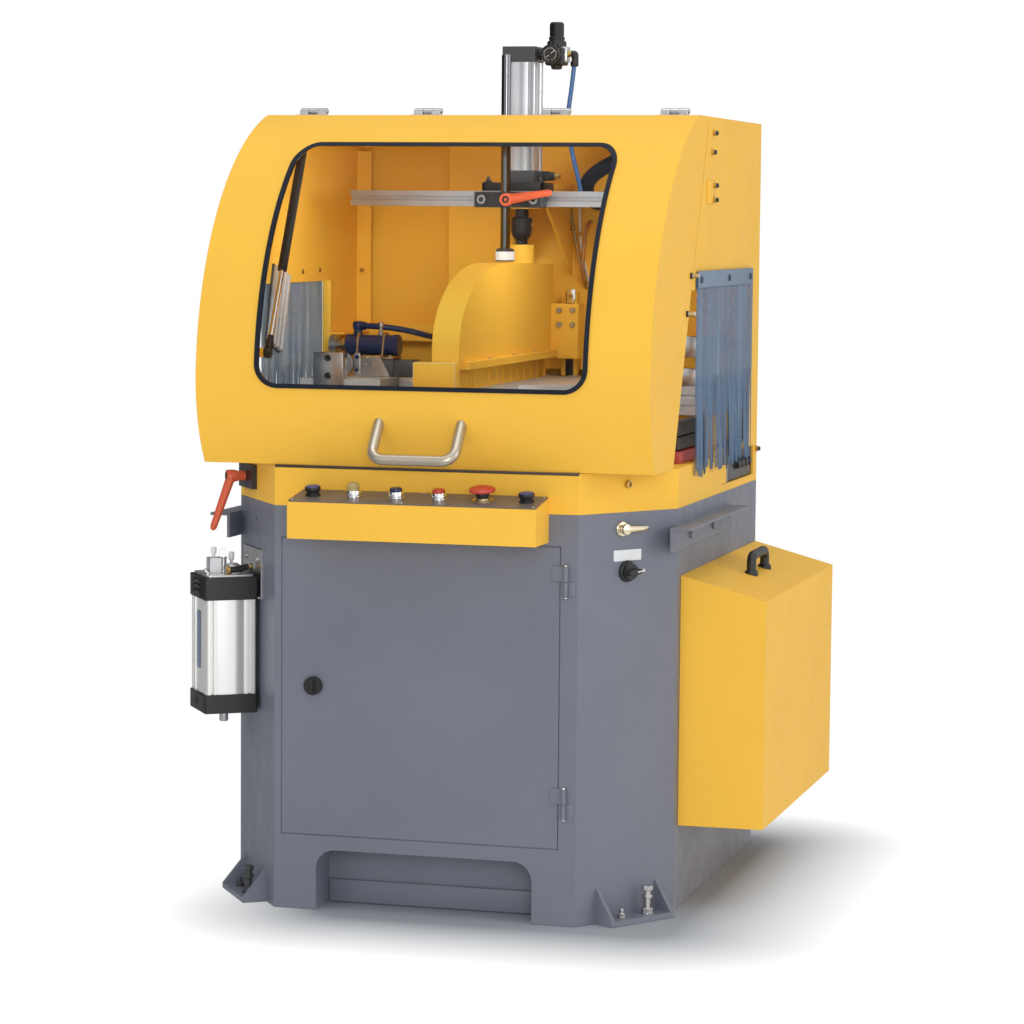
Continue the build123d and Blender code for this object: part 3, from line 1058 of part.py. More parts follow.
with BuildPart() as button_bezels:
    for number, spot in enumerate(OPERATOR_SPOTS):
        wide = STOP_BEZEL_RADIUS if number == 4 else BEZEL_RADIUS
        with BuildSketch(panel_plane(spot, PLATE_THICK)):
            Circle(wide)
            Circle(BEZEL_HOLE, mode=Mode.SUBTRACT)
        extrude(amount=BEZEL_HEIGHT)
button_bezels.part.label = "button_bezels"
export_step(button_bezels.part, "parts/button_bezels.step")

BEZEL_TOP = PLATE_THICK + BEZEL_HEIGHT
STEM = (-14.0, BEZEL_TOP + 1.0, 10.8)
PALM_CAP = (BEZEL_TOP + 4.5, BEZEL_TOP + 11.0, 14.5)
PALM_NECK = (BEZEL_TOP, BEZEL_TOP + 5.0, 10.8)

with BuildPart() as start_button_left:
    add(stack(OPERATOR_SPOTS[0], (STEM, PALM_NECK, PALM_CAP)))
start_button_left.part.label = "start_button_left"
export_step(start_button_left.part, "parts/start_button_left.step")

with BuildPart() as start_button_right:
    add(stack(OPERATOR_SPOTS[5], (STEM, PALM_NECK, PALM_CAP)))
start_button_right.part.label = "start_button_right"
export_step(start_button_right.part, "parts/start_button_right.step")

with BuildPart() as pilot_lamp:
    add(stack(OPERATOR_SPOTS[1], ((-14.0, BEZEL_TOP + 12.0, BEZEL_HOLE - 0.2),)))
    fillet(pilot_lamp.edges().sort_by(Axis.Z)[-1], 5)
pilot_lamp.part.label = "pilot_lamp"
export_step(pilot_lamp.part, "parts/pilot_lamp.step")

with BuildPart() as push_button_blue:
    add(stack(OPERATOR_SPOTS[2], ((-14.0, BEZEL_TOP + 6.0, 10.8),)))
push_button_blue.part.label = "push_button_blue"
export_step(push_button_blue.part, "parts/push_button_blue.step")

with BuildPart() as push_button_red:
    add(stack(OPERATOR_SPOTS[3], ((-14.0, BEZEL_TOP + 6.0, 10.8),)))
push_button_red.part.label = "push_button_red"
export_step(push_button_red.part, "parts/push_button_red.step")

with BuildPart() as emergency_stop:
    stop_neck = (BEZEL_TOP, BEZEL_TOP + 8.0, 10.8)
    stop_head = (BEZEL_TOP + 6.0, BEZEL_TOP + 22.0, 24.0)
    add(stack(OPERATOR_SPOTS[4], (STEM, stop_neck, stop_head)))
    fillet(emergency_stop.edges().sort_by(Axis.Z)[-1], 8)
emergency_stop.part.label = "emergency_stop"
export_step(emergency_stop.part, "parts/emergency_stop.step")

# Side cover and its handle
COVER_SHEET = 2.5
COVER_INNER = HALF_WIDTH + COVER_GAP
HANDLE_X, COVER_HANDLE_FRONT, COVER_HANDLE_REAR, COVER_HANDLE_HIGH = 503.0, 470.0, 620.0, 44.0


def cover_profile(inset, inner):
    """Cross section of the side cover, moved inwards by an inset and run along its depth."""
    with BuildPart() as body:
        with BuildSketch(Plane.XZ.offset(-at(COVER_REAR - inset))):
            with BuildLine():
                Polyline(
                    (inner, COVER_LOW + inset),
                    (COVER_OUTER - inset, COVER_LOW + inset),
                    (COVER_OUTER - inset, COVER_EDGE_HIGH - inset),
                    (inner, COVER_HIGH - inset),
                    close=True,
                )
            make_face()
        extrude(amount=COVER_REAR - COVER_FRONT - 2 * inset)
    return body.part


with BuildPart() as side_cover:
    add(cover_profile(0, COVER_INNER))
    add(cover_profile(COVER_SHEET, COVER_INNER - 1), mode=Mode.SUBTRACT)
side_cover.part.label = "side_cover"
export_step(side_cover.part, "parts/side_cover.step")

cover_slope = (COVER_HIGH - COVER_EDGE_HIGH) / (COVER_OUTER - COVER_INNER)
cover_z = COVER_HIGH - cover_slope * (HANDLE_X - COVER_INNER)
with BuildPart() as side_cover_handle:
    handle_top = cover_z + COVER_HANDLE_HIGH
    block(HANDLE_X - 11, HANDLE_X + 11, COVER_HANDLE_FRONT, COVER_HANDLE_REAR, cover_z - 8, handle_top)
    fillet(side_cover_handle.edges().filter_by(Axis.X).sort_by(Axis.Z)[-2:], 14)
    block(
        HANDLE_X - 12, HANDLE_X + 12, COVER_HANDLE_FRONT + 22, COVER_HANDLE_REAR - 22,
        cover_z - 12, cover_z + COVER_HANDLE_HIGH - 14, Mode.SUBTRACT,
    )
    add(cover_profile(0, COVER_INNER), mode=Mode.SUBTRACT)
side_cover_handle.part.label = "side_cover_handle"
export_step(side_cover_handle.part, "parts/side_cover_handle.step")

# Rotary switch and latch handle on the right chamfer
SWITCH_ALONG, SWITCH_Z = 0.485, 636.0
LATCH_ALONG, LATCH_Z = 0.43, 713.0
with BuildPart() as switch_base:
    with BuildSketch(chamfer_plane(1, SWITCH_ALONG, SWITCH_Z)):
        Circle(20)
    extrude(amount=7)
    with BuildSketch(chamfer_plane(1, SWITCH_ALONG, SWITCH_Z + 29)):
        RectangleRounded(66, 18, 2)
    extrude(amount=1.2)
switch_base.part.label = "switch_base"
export_step(switch_base.part, "parts/switch_base.step")

with BuildPart() as switch_knob:
    knob_plane = chamfer_plane(1, SWITCH_ALONG, SWITCH_Z).offset(7.3)
    with BuildSketch(knob_plane):
        Circle(16)
    extrude(amount=9)
    with BuildSketch(knob_plane.offset(8)):
        RectangleRounded(30, 9, 3)
    extrude(amount=12)
switch_knob.part.label = "switch_knob"
export_step(switch_knob.part, "parts/switch_knob.step")

with BuildPart() as latch_handle:
    latch_plane = chamfer_plane(1, LATCH_ALONG, LATCH_Z).offset(0.3)
    with BuildSketch(latch_plane):
        Circle(11)
    extrude(amount=16)
    with BuildSketch(latch_plane.offset(8)):
        with Locations((20, 0)):
            RectangleRounded(66, 14, 6)
    extrude(amount=9)
latch_handle.part.label = "latch_handle"
export_step(latch_handle.part, "parts/latch_handle.step")

# Air reservoir on the left chamfer
TANK_ALONG, TANK_GAP, TANK_OUT, TANK_WIDE = 0.62, 6.0, 102.0, 116.0
TANK_LOW, TANK_BODY_LOW, TANK_BODY_HIGH, TANK_HIGH = 349.0, 384.0, 560.0, 602.0
tank_wall = chamfer_plane(-1, TANK_ALONG, 0)
tank_spot = tank_wall.origin + tank_wall.z_dir * (TANK_GAP + TANK_OUT / 2)


def tank_plane(z):
    """Level plane through the reservoir's axis, its x pointing out from the chamfer."""
    return Plane(origin=(tank_spot.X, tank_spot.Y, z), x_dir=tank_wall.z_dir, z_dir=(0, 0, 1))


with BuildPart() as reservoir_body:
    with BuildSketch(tank_plane(TANK_BODY_LOW)):
        Rectangle(TANK_OUT - 6, TANK_WIDE - 6)
        for rib in range(-4, 5):
            for side in (-1, 1):
                along = (rib * TANK_OUT / 10, side * (TANK_WIDE / 2 - 3))
                across = (side * (TANK_OUT / 2 - 3), rib * TANK_WIDE / 10)
                with Locations(along, across):
                    Rectangle(3.4, 3.4, mode=Mode.SUBTRACT)
    extrude(amount=TANK_BODY_HIGH - TANK_BODY_LOW)
reservoir_body.part.label = "reservoir_body"
export_step(reservoir_body.part, "parts/reservoir_body.step")

with BuildPart() as reservoir_caps:
    for low, high in ((TANK_LOW, TANK_BODY_LOW), (TANK_BODY_HIGH, TANK_HIGH)):
        with BuildSketch(tank_plane(low)):
            RectangleRounded(TANK_OUT, TANK_WIDE, 6)
        extrude(amount=high - low)
    for x, y, high, radius in ((22, -20, 650, 12), (22, 20, 634, 12), (-24, -18, 640, 15), (-24, 22, 624, 10)):
        with BuildSketch(tank_plane(TANK_HIGH - 1)):
            with Locations((x, y)):
                Circle(radius)
        extrude(amount=high - TANK_HIGH)
    with BuildSketch(tank_plane(TANK_LOW - 22)):
        Circle(9)
    extrude(amount=23)
    with BuildSketch(tank_plane(TANK_HIGH - 1)):
        with Locations((-(TANK_OUT / 2 + TANK_GAP) + 4, 0)):
            Rectangle(8, TANK_WIDE + 26)
    extrude(amount=41)
    with BuildSketch(tank_plane(TANK_BODY_HIGH + 8)):
        with Locations((-(TANK_OUT / 2 + TANK_GAP) + 6, 0)):
            Rectangle(12, TANK_WIDE - 10)
    extrude(amount=TANK_HIGH - TANK_BODY_HIGH - 4)
reservoir_caps.part.label = "reservoir_caps"
export_step(reservoir_caps.part, "parts/reservoir_caps.step")

# Mitre lock in the ring's left chamfer
LOCK_PROUD, HUB_LENGTH, HUB_RADIUS, ARM_DROP = 10.0, 36.0, 11.0, 92.0
lock_plane = chamfer_plane(-1, LOCK_ALONG, (LOCK_BLOCK_LOW + LOCK_BLOCK_HIGH) / 2)
with BuildPart() as mitre_lock_block:
    with BuildSketch(lock_plane.offset(-24)):
        Rectangle(LOCK_BLOCK_LENGTH, LOCK_BLOCK_HIGH - LOCK_BLOCK_LOW)
    extrude(amount=24 + LOCK_PROUD)
    with BuildSketch(lock_plane.offset(-RING_SHEET)):
        Rectangle(LOCK_BLOCK_LENGTH + 16, LOCK_BLOCK_HIGH - LOCK_BLOCK_LOW)
    extrude(amount=-10)
mitre_lock_block.part.label = "mitre_lock_block"
export_step(mitre_lock_block.part, "parts/mitre_lock_block.step")

with BuildPart() as mitre_lock_lever:
    with BuildSketch(lock_plane.offset(LOCK_PROUD + 0.4)):
        Circle(HUB_RADIUS)
    extrude(amount=HUB_LENGTH)
    with BuildSketch(lock_plane.offset(LOCK_PROUD + HUB_LENGTH - 14)):
        with Locations((0, 0), (0, -ARM_DROP) if lock_plane.y_dir.Z > 0 else (0, ARM_DROP)):
            Circle(8)
        make_hull()
    extrude(amount=12)
mitre_lock_lever.part.label = "mitre_lock_lever"
export_step(mitre_lock_lever.part, "parts/mitre_lock_lever.step")
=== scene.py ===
"""Looks of a mitre upcut saw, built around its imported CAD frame.

Tables are in millimetres. A depth d counts backwards from the cabinet's front face.
"""
import math
import random

import bmesh
import bpy
from mathutils import Matrix, Vector


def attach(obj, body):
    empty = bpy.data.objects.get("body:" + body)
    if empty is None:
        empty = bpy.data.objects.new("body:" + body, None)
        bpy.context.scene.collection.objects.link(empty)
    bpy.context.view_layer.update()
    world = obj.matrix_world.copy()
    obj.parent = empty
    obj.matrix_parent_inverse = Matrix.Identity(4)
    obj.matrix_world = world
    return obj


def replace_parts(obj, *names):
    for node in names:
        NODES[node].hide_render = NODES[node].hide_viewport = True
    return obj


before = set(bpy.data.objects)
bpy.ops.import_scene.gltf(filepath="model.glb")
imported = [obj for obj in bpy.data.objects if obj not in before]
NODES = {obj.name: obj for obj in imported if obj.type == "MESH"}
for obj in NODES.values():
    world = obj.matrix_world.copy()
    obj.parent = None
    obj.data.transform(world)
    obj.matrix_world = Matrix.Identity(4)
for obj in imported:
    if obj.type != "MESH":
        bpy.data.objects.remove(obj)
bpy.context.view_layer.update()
scene = bpy.context.scene

MM = 0.001
CABINET_FRONT = -457.5
HALF_WIDTH = 423.0
FRONT_HALF = 286.0
CHAMFER_DEPTH = 195.0
RIGHT, BACK, UP = Vector((1, 0, 0)), Vector((0, 1, 0)), Vector((0, 0, 1))
LEFT, FRONT, DOWN = -RIGHT, -BACK, -UP
CHAMFER_OUT = Vector((CHAMFER_DEPTH, FRONT_HALF - HALF_WIDTH, 0)).normalized()
WHITE = (1.0, 1.0, 1.0, 1.0)


def spot(x, depth, z):
    """Point in metres."""
    return Vector((x, depth + CABINET_FRONT, z)) * MM


def upright(x, depth, z=0.0):
    """Level plane at a point, its axes along the frame's."""
    return Matrix.Translation(spot(x, depth, z))


def added(name, data):
    """New object in the scene."""
    obj = bpy.data.objects.new(name, data)
    scene.collection.objects.link(obj)
    return obj


ORIGIN = upright(0, 0)

# Camera, fitted to the photograph
CAMERA_LENS, SENSOR, FAR_CLIP = 115.89, 36.0, 200.0
CAMERA_PLACE = (1.7301, -6.1095, 1.2682)
YAW, PITCH, ROLL = math.radians(15.5), math.radians(5.1), math.radians(0.5)


def make_camera():
    """Camera at the photograph's viewing angle."""
    data = bpy.data.cameras.new("camera")
    data.lens = CAMERA_LENS
    data.sensor_width = SENSOR
    data.clip_end = FAR_CLIP
    camera = added("camera", data)
    level = Matrix.Rotation(YAW, 4, "Z") @ Matrix.Rotation(math.pi / 2 - PITCH, 4, "X")
    camera.matrix_world = Matrix.Translation(CAMERA_PLACE) @ level @ Matrix.Rotation(ROLL, 4, "Z")
    scene.camera = camera


make_camera()
scene.view_settings.view_transform = "Standard"


# Materials
class Tree:
    """Node tree of a material or the world, with short calls for the nodes used here."""

    def __init__(self, owner, shader="Principled BSDF", space="Object"):
        owner.use_nodes = True
        self.owner = owner
        self.nodes = owner.node_tree.nodes
        self.links = owner.node_tree.links
        self.shader = self.nodes[shader]
        self.coords = self.add("TexCoord").outputs[space]

    def put(self, socket, value):
        if isinstance(value, bpy.types.NodeSocket):
            self.links.new(value, socket)
        else:
            socket.default_value = value

    def add(self, kind, values=None, **settings):
        made = self.nodes.new("ShaderNode" + kind)
        for key, value in settings.items():
            setattr(made, key, value)
        for key, value in (values or {}).items():
            self.put(made.inputs[key], value)
        return made

    def set(self, **values):
        for key, value in values.items():
            self.put(self.shader.inputs[key.replace("_", " ")], value)

    def noise(self, scale, detail, stretch=None, rough=0.5):
        vector = self.coords
        if stretch:
            vector = self.add("Mapping", {"Vector": vector, "Scale": stretch}).outputs[0]
        values = {"Vector": vector, "Scale": scale, "Detail": detail, "Roughness": rough}
        return self.add("TexNoise", values).outputs["Fac"]

    def spread(self, value, low, high, start=0.3, end=0.7):
        values = {"Value": value, "From Min": start, "From Max": end, "To Min": low, "To Max": high}
        return self.add("MapRange", values).outputs[0]

    def math(self, operation, a, b):
        return self.add("Math", {0: a, 1: b}, operation=operation).outputs[0]

    def vector(self, operation, a, b=(0, 0, 0)):
        result = "Value" if operation in ("DOT_PRODUCT", "LENGTH") else "Vector"
        return self.add("VectorMath", {0: a, 1: b}, operation=operation).outputs[result]

    def blend(self, share, first, second):
        made = self.add("Mix", data_type="RGBA")
        for index, value in ((0, share), (6, first), (7, second)):
            self.put(made.inputs[index], value)
        return made.outputs[2]

    def bump(self, height, distance, strength, **more):
        values = {"Height": height, "Distance": distance * MM, "Strength": strength, **more}
        self.set(Normal=self.add("Bump", values).outputs[0])

    def mix_out(self, share, first, second):
        mixed = self.add("MixShader", {0: share, 1: first, 2: second})
        self.put(self.nodes["Material Output"].inputs["Surface"], mixed.outputs[0])


def scaled(colour, factor):
    return tuple(min(1.0, c * factor) for c in colour) + (1.0,)


SPECK_SCALE, RUB_SCALE, GLOSS_SCALE = 60.0, 35.0, 22.0
GRIME_SHADE, EDGE_SAMPLES = 0.55, 6


def surface(name, colour, rough, metal=0.0, tone=0.08, tone_scale=4.0, grain=700.0, depth=0.02, stretch=None,
            rough_spread=0.07, edge=1.0, worn=1.18, grime=0.12, shine=0.5):
    """Rigid surface: patchy tone, settled grime, fine grain and softened, slightly worn edges."""
    tree = Tree(bpy.data.materials.new(name))
    patches = tree.spread(tree.noise(tone_scale, 5.0), 0.0, 1.0)
    base = tree.blend(patches, scaled(colour, 1 - tone), scaled(colour, 1 + tone))
    specks = tree.spread(tree.noise(SPECK_SCALE, 6.0, rough=0.75), 0.0, grime, 0.5, 0.75)
    base = tree.blend(specks, base, scaled(colour, GRIME_SHADE))
    soft = tree.add("Bevel", {"Radius": edge * MM}, samples=EDGE_SAMPLES).outputs[0]
    face = tree.add("NewGeometry").outputs["Normal"]
    rim = tree.spread(tree.vector("DOT_PRODUCT", soft, face), 1.0, 0.0, 0.86, 0.99)
    rub = tree.math("MULTIPLY", rim, tree.spread(tree.noise(RUB_SCALE, 4.0), 0.1, 0.8))
    gloss = tree.spread(tree.noise(GLOSS_SCALE, 4.0), rough - rough_spread, rough + rough_spread)
    tree.set(Base_Color=tree.blend(rub, base, scaled(colour, worn)), Roughness=gloss)
    tree.set(Metallic=metal, Specular_IOR_Level=shine)
    tree.bump(tree.noise(grain, 2.0, stretch), depth, 0.6, Normal=soft)
    return tree.owner


def glass(name):
    """Clear pane with faint dust that lets light through to what is behind it."""
    tree = Tree(bpy.data.materials.new(name))
    dust = tree.spread(tree.noise(9.0, 5.0), 0.0, 0.02)
    tree.set(Base_Color=(0.93, 0.96, 0.95, 1.0), Transmission_Weight=1.0, IOR=1.08, Roughness=dust)
    through = tree.add("BsdfTransparent", {"Color": (0.95, 0.97, 0.96, 1.0)}).outputs[0]
    path = tree.add("LightPath").outputs
    either = tree.math("MAXIMUM", path["Is Shadow Ray"], path["Is Diffuse Ray"])
    tree.mix_out(either, tree.shader.outputs[0], through)
    return tree.owner


def film(name):
    """Translucent strip-curtain film with drawn streaks and scuffs."""
    tree = Tree(bpy.data.materials.new(name))
    streaks = tree.noise(40.0, 4.0, (1.0, 1.0, 0.06))
    clouds = tree.noise(7.0, 4.0)
    colour = tree.blend(tree.spread(streaks, 0.0, 1.0), (0.045, 0.12, 0.26, 1.0), (0.12, 0.22, 0.35, 1.0))
    colour = tree.blend(tree.spread(clouds, 0.0, 0.4), colour, (0.16, 0.25, 0.36, 1.0))
    tree.set(Base_Color=colour, IOR=1.4, Roughness=tree.spread(clouds, 0.22, 0.42))
    tree.set(Alpha=tree.spread(streaks, 0.56, 0.86))
    tree.bump(streaks, 0.6, 0.5)
    return tree.owner


# Finishes that several surfaces share
ALONG_Z, ALONG_X = (1, 1, 0.02), (0.02, 1, 1)
PAINTED = dict(grain=420, depth=0.03, edge=1.4)
MOULDED = dict(grain=900, depth=0.01)
MATT = dict(grain=900, depth=0.03)
SMOOTH = dict(depth=0.01)
TURNED = dict(grain=500, depth=0.012)
BRUSHED = dict(tone=0.05, grain=500)
COARSE = dict(grain=500, depth=0.03)
DRAWN = dict(tone=0.02, grain=500, depth=0.004, stretch=ALONG_Z, rough_spread=0.02, edge=0.3, worn=1, grime=0)

YELLOW = surface("yellow_paint", (0.9, 0.52, 0.066), 0.46, tone=0.03, grime=0.05, shine=0.12, **PAINTED)
GREY = surface("grey_paint", (0.165, 0.178, 0.222), 0.42, tone=0.05, shine=0.35, **PAINTED)
TUBE = surface("drawn_tube", (0.56, 0.58, 0.62), 0.24, 0.6, **DRAWN)
# Painted light: a lighter copy of the drawn tube for the reservoir, standing in for the highlight on its front
# face
BRIGHT = surface("drawn_tube_painted_light", (0.86, 0.85, 0.84), 0.24, 0.7, **DRAWN)
CASTING = surface("bright_casting", (0.62, 0.63, 0.65), 0.3, 0.9, grain=300, depth=0.03)
CAST = surface("painted_casting", (0.075, 0.085, 0.1), 0.55, tone=0.1, grain=240, depth=0.12)
STEEL = surface("steel", (0.5, 0.5, 0.51), 0.32, 1, tone=0.12, **TURNED)
BLADE = surface("blade_steel", (0.46, 0.47, 0.49), 0.3, 1, tone=0.1, grain=400, **SMOOTH)
CHROME = surface("chrome", (0.78, 0.78, 0.79), 0.14, 1, tone=0.04, grain=300, depth=0.004, rough_spread=0.05)
# Painted shade: the stop rod's chrome gets a dark base colour that stands in for the dark surroundings it
# reflects
ROD = surface("chrome_with_painted_dark_reflection", (0.17, 0.17, 0.18), 0.12, 1, tone=0.04, grain=300, depth=0.003,
              rough_spread=0.03, worn=1)
GOLD = surface("gilt_chrome", (0.74, 0.66, 0.48), 0.2, 1, grain=400, depth=0.006)
ALUMINIUM = surface("aluminium", (0.66, 0.68, 0.71), 0.3, 1, stretch=ALONG_Z, **BRUSHED)
RAIL_METAL = surface("rail_aluminium", (0.6, 0.62, 0.67), 0.42, 1, stretch=ALONG_X, **BRUSHED)
IRON = surface("machined_iron", (0.6, 0.62, 0.65), 0.42, 0.4, tone=0.1, grain=260, stretch=ALONG_X)
BRASS = surface("brass", (0.55, 0.37, 0.12), 0.28, 1, tone=0.12, grain=500, **SMOOTH)
ZINC = surface("yellow_zinc", (0.5, 0.4, 0.24), 0.32, 1, tone=0.25, tone_scale=25, **TURNED)
BRONZE = surface("handle_bronze", (0.46, 0.41, 0.33), 0.3, 0.7, grain=600, **SMOOTH)
COPPER = surface("copper_line", (0.52, 0.3, 0.14), 0.34, 0.8, tone=0.15, grain=500)
BLACK = surface("black_metal", (0.016, 0.016, 0.019), 0.38, tone=0.15, worn=2.2, depth=0.025)
DARK = surface("dark_grey_metal", (0.055, 0.056, 0.062), 0.42, tone=0.12, worn=1.6, depth=0.03)
PLASTIC = surface("black_plastic", (0.013, 0.013, 0.014), 0.45, tone=0.15, worn=2, **MATT)
RUBBER = surface("rubber", (0.009, 0.012, 0.022), 0.62, tone=0.12, worn=1.3, shine=0.2, **MATT)
ORANGE = surface("orange_plastic", (0.69, 0.115, 0.045), 0.44, tone=0.05, grain=900, worn=1.1)
NAVY = surface("dark_blue_plastic", (0.01, 0.022, 0.075), 0.22, worn=1.3, **MOULDED)
BLUE = surface("blue_plastic", (0.025, 0.06, 0.24), 0.25, tone=0.06, worn=1.3, **MOULDED)
RED = surface("red_plastic", (0.52, 0.05, 0.034), 0.32, tone=0.06, worn=1.15, **MOULDED)
AMBER = surface("amber_lens", (0.42, 0.32, 0.13), 0.2, tone=0.2, tone_scale=90, **MOULDED)
PANEL = surface("panel_plate", (0.145, 0.122, 0.12), 0.4, tone=0.05, grain=900, depth=0.012, worn=2)
HOSE = surface("blue_hose", (0.045, 0.14, 0.38), 0.28, tone=0.06, grain=500)
BLUE_STRIP = surface("blue_strip", (0.14, 0.2, 0.29), 0.4, tone=0.06, **SMOOTH)
LABEL = surface("blank_label", (0.72, 0.74, 0.76), 0.4, tone=0.03, **SMOOTH)
MARK = surface("dial_marking", (0.8, 0.8, 0.78), 0.5, tone=0.03, depth=0.005)
# Brown of the panel behind the hood seam, also used as the painted shadow under the hood's front edge
BROWN = surface("brown_panel_and_gap_shadow", (0.05, 0.036, 0.028), 0.5, tone=0.15, **COARSE)
BRICK = surface("red_bar", (0.46, 0.06, 0.045), 0.45, tone=0.12, **COARSE)
WINDOW = glass("clear_window")
FILM = film("curtain_film")

NODE_MATERIALS = (
    (YELLOW, "yellow_paint", "hood_shell rear_housing table_ring blade_guard control_box side_cover"),
    (GREY, "grey_paint", "cabinet_shell front_door door_hinges"),
    (STEEL, "steel", "levelling_bolts vise_rod spindle motor_pulley"),
    (STEEL, "aluminium", "fences"),
    (STEEL, "chrome", "hood_hinge_leaves hood_hinge_bases feed_rod button_bezels"),
    (CHROME, "chrome", "latch_handle gas_spring_rods"),
    (ROD, "chrome", "stop_rod"),
    (BRONZE, "steel", "hood_handle"),
    (ALUMINIUM, "aluminium", "cylinder_tube curtain_bars reservoir_body feed_cylinder"),
    (RAIL_METAL, "aluminium", "tslot_rail"),
    (IRON, "aluminium", "side_tables"),
    (IRON, "iron", "turntable"),
    (DARK, "black_metal", "cylinder_caps"),
    (BLACK, "black_metal", "rod_clamp_block mitre_lock_block vise_body piston_rod gas_spring_tubes"),
    (CAST, "iron", "saw_arm"),
    (CAST, "grey_paint", "motor"),
    (BLADE, "steel", "saw_blade"),
    (RUBBER, "rubber", "window_gasket drive_belt"),
    (PLASTIC, "black_plastic", "door_lock switch_base switch_knob side_cover_handle regulator regulator_knob"),
    (PLASTIC, "black_plastic", "reservoir_caps start_button_left start_button_right"),
    (ORANGE, "orange_plastic", "clamp_lever mitre_lock_lever"),
    (BLUE, "blue_plastic", "push_button_blue"),
    (RED, "red_plastic", "push_button_red emergency_stop"),
    (AMBER, "amber_plastic", "pilot_lamp"),
    (PANEL, "panel_plate", "control_plate"),
    (WINDOW, "window", "hood_window"),
    (FILM, "curtain", "curtain_left curtain_right"),
    (HOSE, "hose", "air_hoses"),
)
for material, slot_name, names in NODE_MATERIALS:
    for node_name in names.split():
        NODES[node_name].data.materials.clear()
        NODES[node_name].data.materials.append(material)


# Shapes are added to one draft mesh, in metres; tone is their material number
draft = bmesh.new()


def facing(axis):
    """Rotation whose z points along an axis."""
    ahead = Vector(axis).normalized()
    side = UP.cross(ahead)
    side = RIGHT.copy() if side.length < 1e-6 else side.normalized()
    return Matrix((side, ahead.cross(side), ahead)).transposed()


def seat(point, axis):
    """Matrix of a plane at a point, facing along an axis, its y upwards."""
    return Matrix.Translation(point) @ facing(axis).to_4x4()


def spun(place, degrees):
    """Matrix turned about its own z."""
    return place @ Matrix.Rotation(math.radians(degrees), 4, "Z")


def rounded(points, radius, steps=3, closed=True):
    """Polyline with its corners rounded."""
    done, count = [], len(points)
    for index, point in enumerate(points):
        if not closed and index in (0, count - 1):
            done.append(tuple(point))
            continue
        corner = Vector(point)
        before = Vector(points[index - 1]) - corner
        after = Vector(points[(index + 1) % count]) - corner
        size = min(radius, before.length * 0.48, after.length * 0.48)
        start, end = corner + before.normalized() * size, corner + after.normalized() * size
        for step in range(steps + 1):
            t = step / steps
            done.append(tuple(start * (1 - t) ** 2 + corner * 2 * t * (1 - t) + end * t * t))
    return done


def circle(radius, steps):
    """Points round a circle."""
    angles = [math.tau * k / steps for k in range(steps)]
    return [(radius * math.cos(angle), radius * math.sin(angle)) for angle in angles]


def rectangle(wide, high, corner):
    """Outline of a rounded rectangle about the origin."""
    x, y = wide / 2, high / 2
    return rounded(((-x, -y), (x, -y), (x, y), (-x, y)), corner, 4)


def skin(rings, tone=0, closed=True):
    """Faces between neighbouring rings; a ring of one point closes to a tip."""
    for low, high in zip(rings, rings[1:]):
        count = max(len(low), len(high))
        for k in range(count if closed else count - 1):
            n = (k + 1) % count
            if len(low) == 1:
                corners = (low[0], high[n], high[k])
            elif len(high) == 1:
                corners = (low[k], low[n], high[0])
            else:
                corners = (low[k], low[n], high[n], high[k])
            draft.faces.new(corners).material_index = tone


def hull(rings, tone):
    """Skin through rings, closed by a lid at each end."""
    skin(rings, tone)
    for ring in (rings[0][::-1], rings[-1]):
        if len(ring) > 2:
            draft.faces.new(ring).material_index = tone


def lathe(origin, axis, profile, tone=0, steps=24, flutes=0, flute=0, ring_shaped=False):
    """Turned shape from (radius, height) pairs along an axis; flutes cut its wider stages."""
    turn = facing(axis)
    widest = max(radius for radius, height in profile)
    rings = []
    for radius, height in profile:
        ring = []
        for k in range(steps if radius > 0 else 1):
            angle = math.tau * k / steps
            cut = flute * (0.5 - 0.5 * math.cos(flutes * angle)) if radius > 0.93 * widest else 0
            reach = radius - cut
            offset = Vector((reach * math.cos(angle), reach * math.sin(angle), height))
            ring.append(draft.verts.new(origin + turn @ offset * MM))
        rings.append(ring)
    if ring_shaped:
        skin(rings + rings[:1], tone)
    else:
        hull(rings, tone)


def lathes(axis, *rows):
    """Turned shapes on one axis; a row is foot (x, d, z), profile, tone and steps."""
    for foot, *values in rows:
        lathe(spot(*foot), axis, *values)


def pulled_in(outline, inset):
    """Outline moved inwards along its corner normals; the outline runs anticlockwise."""
    done, count = [], len(outline)
    for index in range(count):
        here = Vector(outline[index])
        back = (here - Vector(outline[index - 1])).normalized()
        ahead = (Vector(outline[(index + 1) % count]) - here).normalized()
        along = back + ahead
        along = ahead if along.length < 1e-6 else along.normalized()
        done.append((here.x - along.y * inset, here.y + along.x * inset))
    return done


def prism(outline, place, low, high, bevel=0.6, tone=0):
    """Extruded outline in the plane of a matrix, with bevelled rims."""
    rings = []
    for height, inset in ((low, bevel), (low + bevel, 0), (high - bevel, 0), (high, bevel)):
        corners = [Vector((x, y, height)) * MM for x, y in pulled_in(outline, inset)]
        rings.append([draft.verts.new(place @ corner) for corner in corners])
    hull(rings, tone)


def box(place, low, high, bevel=1, tone=0):
    """Box between two corners in the frame of a matrix, with rounded edges."""
    old = set(draft.faces)
    a, b = Vector(low) * MM, Vector(high) * MM
    made = bmesh.ops.create_cube(draft, size=1)["verts"]
    for vert in made:
        vert.co = place @ Vector(tuple(a[i] if vert.co[i] < 0 else b[i] for i in range(3)))
    edges = list({edge for vert in made for edge in vert.link_edges})
    bmesh.ops.bevel(draft, geom=edges, offset=bevel * MM, segments=2, profile=0.5, affect="EDGES")
    for face in draft.faces:
        if face not in old:
            face.material_index = tone


def blocks(*rows, place=ORIGIN):
    """Boxes; a row is low corner, high corner, bevel and tone."""
    for row in rows:
        box(place, *row)


